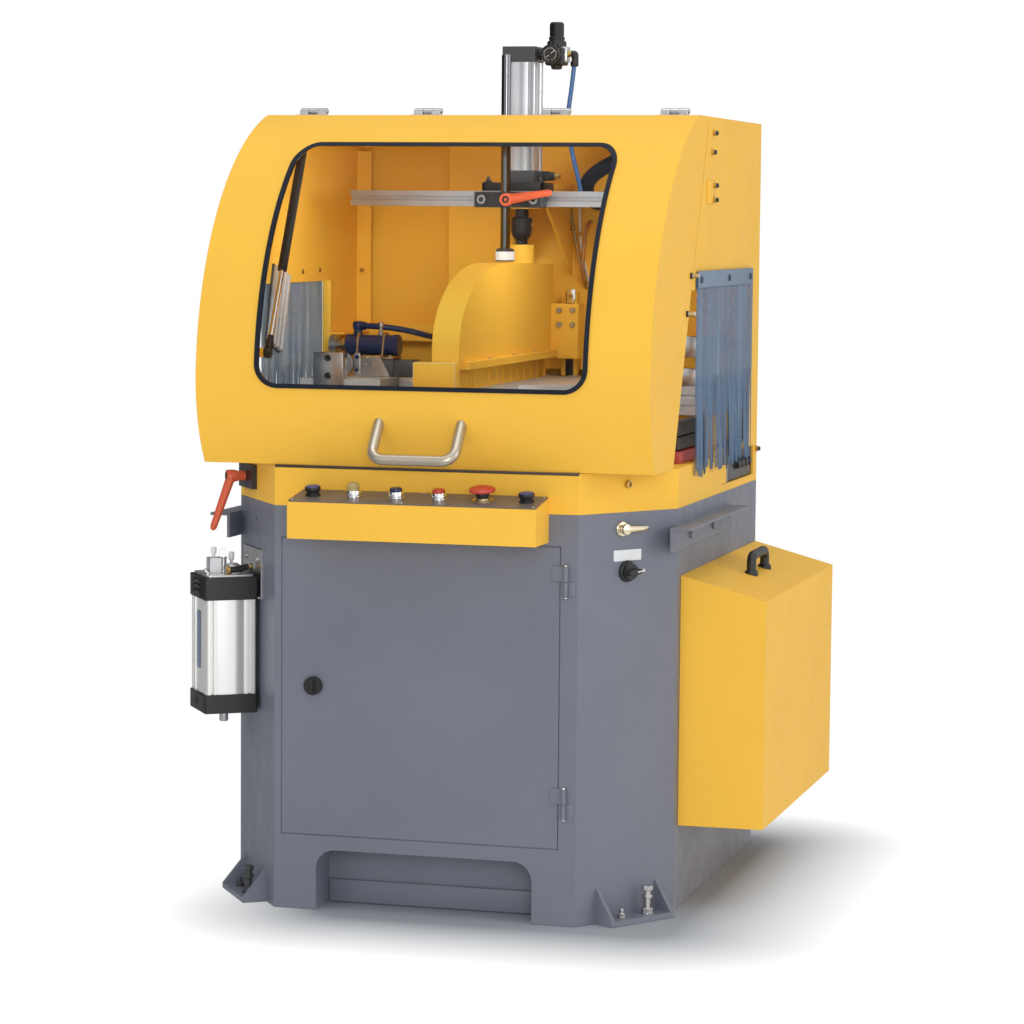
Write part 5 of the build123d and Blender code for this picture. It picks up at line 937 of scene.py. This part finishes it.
# Gland box in the right notch, slotted panel and bar behind the hood seam
NOTCH_Z = 757.6
GLAND = ((11, 0), (11, 3), (9, 4), (9, 10), (7.4, 12), (0, 12))
blocks(
    ((396, 622, NOTCH_Z), (418, 880, 834)),
    ((416.8, 622, NOTCH_Z), (419.6, 652, 834), 0.6, 1),
    ((419.4, 570.4, NOTCH_Z), (422.8, 621, 814), 0.4, 3),
)
for depth in (722, 756, 790, 824):
    lathe(spot(418, depth, 788), RIGHT, GLAND, 2, flutes=8, flute=1.2)
piece("gland_box", [DARK, GREY, PLASTIC, YELLOW])
blocks(
    ((380, 300, 868), (398, 490, 894), 0.8),
    ((380, 300, 842), (398, 490, 865), 0.8),
    ((376, 300, 815), (402, 490, 839), 1.2, 1),
)
piece("side_panel_bars", [BROWN, BRICK])

# Back: service panel with screws, cable gland, housing screws
BACK_D, PANEL_D = 914.8, 916.6
CABLE_GLAND = ((17, 0), (17, 5), (13, 6), (13, 16), (11, 19), (6, 20), (0, 20))
PANEL_SCREWS = ((-205, 265), (-205, 585), (0, 265), (0, 585), (205, 265), (205, 585), (-205, 425), (205, 425))
blocks(((-220, BACK_D, 250), (220, PANEL_D, 600), 0.6))
bolts([(x, PANEL_D, z) for x, z in PANEL_SCREWS], BACK, 5, PAN, 1)
lathe(spot(-330, BACK_D, 180), BACK, CABLE_GLAND, 2, 32, flutes=8, flute=1.4)
piece("service_panel", [GREY, STEEL, PLASTIC])
housing_points = [(x, BACK_D, z) for x in (-395, -132, 132, 395) for z in (790, 1110, 1430)]
bolts(housing_points, BACK, 5, PAN)
piece("housing_screws", [STEEL])

# Levelling screws and anchor bolts on the feet
FEET = (
    (spot(-357.2, 101.4, 0), Vector((-CHAMFER_OUT.x, CHAMFER_OUT.y, 0)), 1),
    (spot(357.2, 101.4, 0), CHAMFER_OUT, 0),
    (spot(-330, 915, 0), BACK, 0),
    (spot(330, 915, 0), BACK, 0),
)
FOOT_OUT, NUT_Z = 23, 12
FOOT_SCREWS = ((30, 6, 10.5, 62), (-32, 4, 7, 28))
for foot, outward, tone in FEET:
    level = UP.cross(outward)
    for along, shank, hexagon, top in FOOT_SCREWS:
        base = foot + (level * along + outward * FOOT_OUT) * MM
        lathe(base, UP, ((shank, 1), (shank, top - 3), (shank - 1.2, top - 1.5), (0, top - 1.5)), tone, 20)
        lathe(base, UP, ((1.25 * hexagon, 10.1), (1.25 * hexagon, NUT_Z), (0, 12.2)), tone)
        prism(circle(hexagon, 6), Matrix.Translation(base), NUT_Z, NUT_Z + 0.8 * hexagon, 0.8, tone)
    high = foot + (level * FOOT_SCREWS[0][0] + outward * FOOT_OUT) * MM
    prism(circle(10, 6), Matrix.Translation(high), 52, 61, 0.9, tone)
    lathe(high, UP, ((8, 38), (9.4, 39), (9.4, 44), (8, 45)), tone)
piece("levelling_screws", [STEEL, DARK], "levelling_bolts")

# Seal in the gap round the door, and the kick plate in the toe recess
blocks(
    ((-273, 1.2, 138), (-271.5, 6, 686), 0.2),
    ((252.5, 1.2, 138), (254, 6, 686), 0.2),
    ((-273, 1.2, 138), (254, 6, 139.5), 0.2),
    ((-273, 1.2, 684.5), (254, 6, 686), 0.2),
    ((-204, 74.4, 2), (204, 79.6, 44), 1.6),
)
piece("door_seal", [GREY])

# Door hinges, slim knuckles with bright pin tips
PIN_X, PIN_D = 264, -5.5
PIN_TIP = ((4, 0), (4, 1.4), (2.6, 2.8), (0, 3))
for middle in (222, 623):
    blocks(((265, -2, middle - 27), (281, 0, middle - 0.4), 0.5))
    lathe(spot(PIN_X, PIN_D, middle - 27.5), UP, ((4.2, 0), (4.2, 27.2)), 0, 20)
    for end in (-1, 1):
        lathe(spot(PIN_X, PIN_D, middle + end * 27.8), UP * end, PIN_TIP, 1, 20)
piece("slim_hinges", [GREY, CHROME], "door_hinges")


# Switch with its blank plate, and the latch, on the right chamfer
def on_chamfer(along, z, out=0):
    """Plane on the right chamfer, at a share of its width."""
    x = FRONT_HALF + (HALF_WIDTH - FRONT_HALF) * along
    return seat(spot(x, CHAMFER_DEPTH * along, z) + CHAMFER_OUT * out * MM, CHAMFER_OUT)


SWITCH_ALONG = 0.485
SWITCH_ROSE = ((20, 0), (20, 2), (18.6, 4.5), (16.6, 6.8), (0, 6.8))
SWITCH_BOSS = ((15.6, 7.2), (15.6, 12), (14.6, 14.4), (0, 14.8))
GRIP = rounded(((-15, -5), (10, -5.5), (19, 0), (10, 5.5), (-15, 5)), 3)
switch = on_chamfer(SWITCH_ALONG, 636)
prism(rectangle(66, 20, 1.5), on_chamfer(SWITCH_ALONG, 665), 0.05, 1.3, 0.3, 1)
lathe(switch.translation, CHAMFER_OUT, SWITCH_ROSE, 0, 40)
piece("switch_plate", [PLASTIC, LABEL], "switch_base")
lathe(switch.translation, CHAMFER_OUT, SWITCH_BOSS, 0, 40)
grip_place = spun(switch, 8)
prism(GRIP, grip_place, 13.5, 27, 1.6)
blocks(
    ((3, -1.1, 26.6), (18, 1.1, 27.4), 0.2, 1),
    ((16.5, -2.4, 14), (19.6, 2.4, 27.2), 0.6, 1),
    place=grip_place,
)
piece("switch_grip", [PLASTIC, MARK], "switch_knob", body="switch_knob")

LATCH_ROSE = (
    (14, 0), (14, 1.6), (12.6, 3), (8.6, 3.6), (8, 6), (9.4, 8.5), (10.2, 12), (9.6, 15), (6, 16), (0, 16.2),
)
LATCH_OUT = 12.4
LATCH_ARM = (
    (-10, 2, 1.5), (-8, 5, 3.6), (-4, 6.6, 4.6), (4, 6.8, 4.6), (20, 5.4, 3.8), (38, 4.4, 3.2), (48, 4.2, 3),
    (51.5, 3, 2.2), (53, 1, 0.8),
)
latch = on_chamfer(0.43, 713, 0.3)
lathe(latch.translation, CHAMFER_OUT, LATCH_ROSE, 0, 40)
across, lift = latch.to_3x3().col[0], latch.to_3x3().col[1]
stations = []
for reach, wide, thick in LATCH_ARM:
    centre = latch.translation + across * reach * MM + CHAMFER_OUT * LATCH_OUT * MM
    stations.append((centre, lift * wide * MM, -CHAMFER_OUT * thick * MM))
loft(stations, 20)
piece("latch_lever", [GOLD], "latch_handle", body="latch_handle")

# Side cover handle and its blank plate
COVER_X, COVER_Z = 423.5, 618
COVER_SLOPE = (COVER_Z - 575) / (583 - COVER_X)
GRIP_X, GRIP_ENDS, GRIP_RISE = 503, (481, 609), 35
PLATE_X = 540
GRIP_FOOT = ((13, 0), (13, 7), (11, 10), (9.5, 11))


def cover_top(x):
    """Height of the side cover's sloping top."""
    return COVER_Z - COVER_SLOPE * (x - COVER_X)


grip_z = cover_top(GRIP_X)
near, far = GRIP_ENDS
grip_route = [(GRIP_X, near, grip_z - 1), (GRIP_X, near, grip_z + GRIP_RISE)]
grip_route += [(GRIP_X, far, grip_z + GRIP_RISE), (GRIP_X, far, grip_z - 1)]
pipe(grip_route, 9, 22, 0, 24)
lathes(UP, *[((GRIP_X, depth, grip_z - 3), GRIP_FOOT, 0, 28) for depth in GRIP_ENDS])
piece("cover_grip", [PLASTIC], "side_cover_handle", body="side_cover")
plate = upright(PLATE_X, 262, cover_top(PLATE_X)) @ Matrix.Rotation(math.atan(COVER_SLOPE), 4, "Y")
prism(rectangle(52, 34, 2), plate, 0.05, 0.8, 0.2)
piece("cover_plate", [YELLOW], body="side_cover")

# Fences with their screws
blocks(
    ((-383, 494, 928), (-321, 499.7, 1002)),
    ((-383, 499.7, ON_TABLE), (-321, 520, 1002)),
    ((330, 502, ON_TABLE), (351.8, 520, 1046)),
    ((386.2, 502, ON_TABLE), (408, 520, 1046)),
    ((351.4, 502, ON_TABLE), (386.6, 520, 984.8), 0.8),
    ((351.4, 502, 1005.2), (386.6, 520, 1046), 0.8),
)
bolts(((-352, 494, 991), (-352, 494, 956)), FRONT, 6.4, SOCKET, 1)
piece("fence_plates", [BLADE, BLACK], "fences")

# Vise: dark cylinder in gilt brackets, its block and the front stop
VISE_D, VISE_Z = 640, 1012
VISE_FOOT = (-361, VISE_D, VISE_Z)
VISE_BARREL = (
    (8.1, 0), (20, 0.6), (21.6, 2), (21.6, 14), (20.6, 15), (20.6, 96), (21.6, 97), (21.6, 109),
    (20, 110.6), (0, 111),
)
VALVE = ((6, 0), (6, 6), (4, 7), (4, 16), (6, 17), (6.6, 23), (5, 27), (0, 28))
CLAMP_DISC = ((24, 0), (24, 7), (23, 8), (10, 8.4), (10, 13), (9, 14), (5, 14), (4.6, 10), (0, 10))
BRACKET = rounded(((-30, -26), (30, -26), (16, 26), (-16, 26)), 7, 4)
STOP_PLATE = rounded(((-32, -20), (44, -20), (22, 20), (-32, 20)), 4)
lathes(
    RIGHT,
    (VISE_FOOT, VISE_BARREL, 0, 40),
    ((-330, VISE_D, 1050), ((8.6, 0), (8.6, 7), (7, 8), (6.2, 8)), 0, 20),
)
lathes(LEFT, (VISE_FOOT, ((15, 0), (15, 9), (13, 10), (8.2, 10)), 2, 6))
lathes(
    UP,
    ((-338, VISE_D, 1032), ((9, 0), (9, 12), (11, 13), (11, 24), (9, 27), (0, 28))),
    ((-290, VISE_D, 1031), VALVE, 3, 20),
)
lathes(FRONT, ((-364, 620.5, 974.4), CLAMP_DISC, 4, 40))
blocks(
    ((-334, 614, ON_TABLE), (-256, 666, 986), 1.4, 1),
    ((-256, 616, ON_TABLE), (-215, 664, 984), 1.4, 1),
    ((-331, 610, 986), (-309, 670, 989.5), 0.6, 2),
    ((-277, 610, 986), (-255, 670, 989.5), 0.6, 2),
    ((-336, 610, 955), (-324, 614, 997), 1, 4),
)
for x in (-335, -281):
    prism(BRACKET, seat(spot(x, VISE_D, VISE_Z), RIGHT), 0, 4, 0.6, 2)
    bolts(((x, 616, 990), (x, 664, 990)), LEFT, 4.2, HEX, 2)
prism(STOP_PLATE, seat(spot(-306, 612.4, 970.4), FRONT), -1.6, 1.6, 0.6, 4)
bolts(((-318, 618, 989.5), (-264, 618, 989.5)), UP, 4.6, HEX, 3)
bolts(((-330, 610, 963), (-330, 610, 989)), FRONT, 3.8, SOCKET)
bolts(((-316, 610.8, 973), (-298, 610.8, 973)), FRONT, 4.2, SOCKET, 3)
piece("vise_parts", [NAVY, DARK, ZINC, STEEL, CASTING], "vise_body")

# Stage: pale floor with a painted shadow near the part, soft studio light; lengths from here on are in metres
WORLD_LIGHT, WORLD_GLOSS, FLOOR_GLOSS = 0.66, (0.05, 1.0), (0.35, 1.1)
BRIGHT_SIDE = (0.85, -0.25, 0.46)
# Box and reach of the painted floor shadow, and the darker colour it paints
SHADOW_CENTRE, SHADOW_HALF, SHADOW_REACH = (0.13, 0.0, 0), (0.27, 0.44, 1.0), (0.06, 0.34)
FLOOR_PALE, FLOOR_PAINTED_SHADOW = (0.93, 0.93, 0.93, 1.0), (0.36, 0.39, 0.43, 1.0)
FLOOR_Z, FLOOR_RADIUS = -0.0006, 60.0


def make_stage():
    """White floor with a painted shadow: camera rays see a darker colour near the part, which fades to plain
    white further out.
    """
    draft.faces.new([draft.verts.new((x, y, FLOOR_Z)) for x, y in circle(FLOOR_RADIUS, 96)])
    mesh = bpy.data.meshes.new("floor")
    draft.to_mesh(mesh)
    draft.clear()
    floor = added("floor", mesh)
    tree = Tree(bpy.data.materials.new("floor_white"))
    offset = tree.vector("ABSOLUTE", tree.vector("SUBTRACT", tree.coords, SHADOW_CENTRE))
    outside = tree.vector("MAXIMUM", tree.vector("SUBTRACT", offset, SHADOW_HALF))
    far = tree.spread(tree.vector("LENGTH", outside), 0.0, 1.0, *SHADOW_REACH)
    path = tree.add("LightPath").outputs
    direct = path["Is Camera Ray"]
    # Painted shadow: camera rays see the darker floor colour near the part
    tree.set(Base_Color=tree.blend(direct, FLOOR_PALE, FLOOR_PAINTED_SHADOW), Roughness=0.9, Specular_IOR_Level=0.0)
    seen = tree.math("MAXIMUM", direct, path["Is Transmission Ray"])
    shown = tree.math("MAXIMUM", seen, path["Is Glossy Ray"])
    side = tree.vector("DOT_PRODUCT", tree.coords, BRIGHT_SIDE)
    level = tree.spread(seen, tree.spread(side, *FLOOR_GLOSS, -0.5, 2.0), 1.0, 0.0, 1.0)
    white = tree.add("Emission", {"Color": WHITE, "Strength": level}).outputs[0]
    tree.mix_out(tree.math("MULTIPLY", far, shown), tree.shader.outputs[0], white)
    mesh.materials.append(tree.owner)


def make_world():
    """Even white surroundings: plain white where seen, softer where they light the part."""
    scene.world = bpy.data.worlds.new("studio")
    tree = Tree(scene.world, "Background", "Generated")
    path = tree.add("LightPath").outputs
    seen = tree.math("MAXIMUM", path["Is Camera Ray"], path["Is Transmission Ray"])
    side = tree.vector("DOT_PRODUCT", tree.coords, BRIGHT_SIDE)
    gloss = tree.spread(side, *WORLD_GLOSS, -0.5, 0.45)
    lit = tree.spread(path["Is Glossy Ray"], WORLD_LIGHT, gloss, 0.0, 1.0)
    tree.set(Color=WHITE, Strength=tree.spread(seen, lit, 1.0, 0.0, 1.0))


def make_lamp(name, place, target, size, power, mirrored):
    """Area lamp that the camera doesn't see; mirrored ones show in gloss."""
    data = bpy.data.lights.new(name, "AREA")
    data.shape = "RECTANGLE"
    data.size, data.size_y = size
    data.energy = power
    lamp = added(name, data)
    lamp.matrix_world = seat(place, Vector(place) - Vector(target))
    lamp.visible_camera = lamp.visible_transmission = False
    lamp.visible_glossy = mirrored


# Rows of name, place, target, size, power, and whether gloss shows the lamp
LAMPS = (
    ("key", (1.9, -5.2, 1.6), (0, 0, 1.0), (1.6, 1.6), 60.0, True),
    ("side", (5.0, -0.9, 1.9), (0, 0, 0.9), (2.5, 2.5), 37.0, True),
    ("fill", (-2.6, -5.0, 2.0), (0, 0, 1.0), (2.5, 2.5), 14.0, True),
    ("inside", spot(300, 360, 1340), spot(20, 500, 1060), (0.16, 0.08), 1.15, False),
    ("inside_left", spot(-250, 280, 1250), spot(-150, 850, 1190), (0.12, 0.12), 0.8, False),
    ("top", (0.4, -0.6, 5.0), (0, 0, 1.0), (3.5, 3.5), 58.0, True),
)
make_stage()
make_world()
for lamp_row in LAMPS:
    make_lamp(*lamp_row)
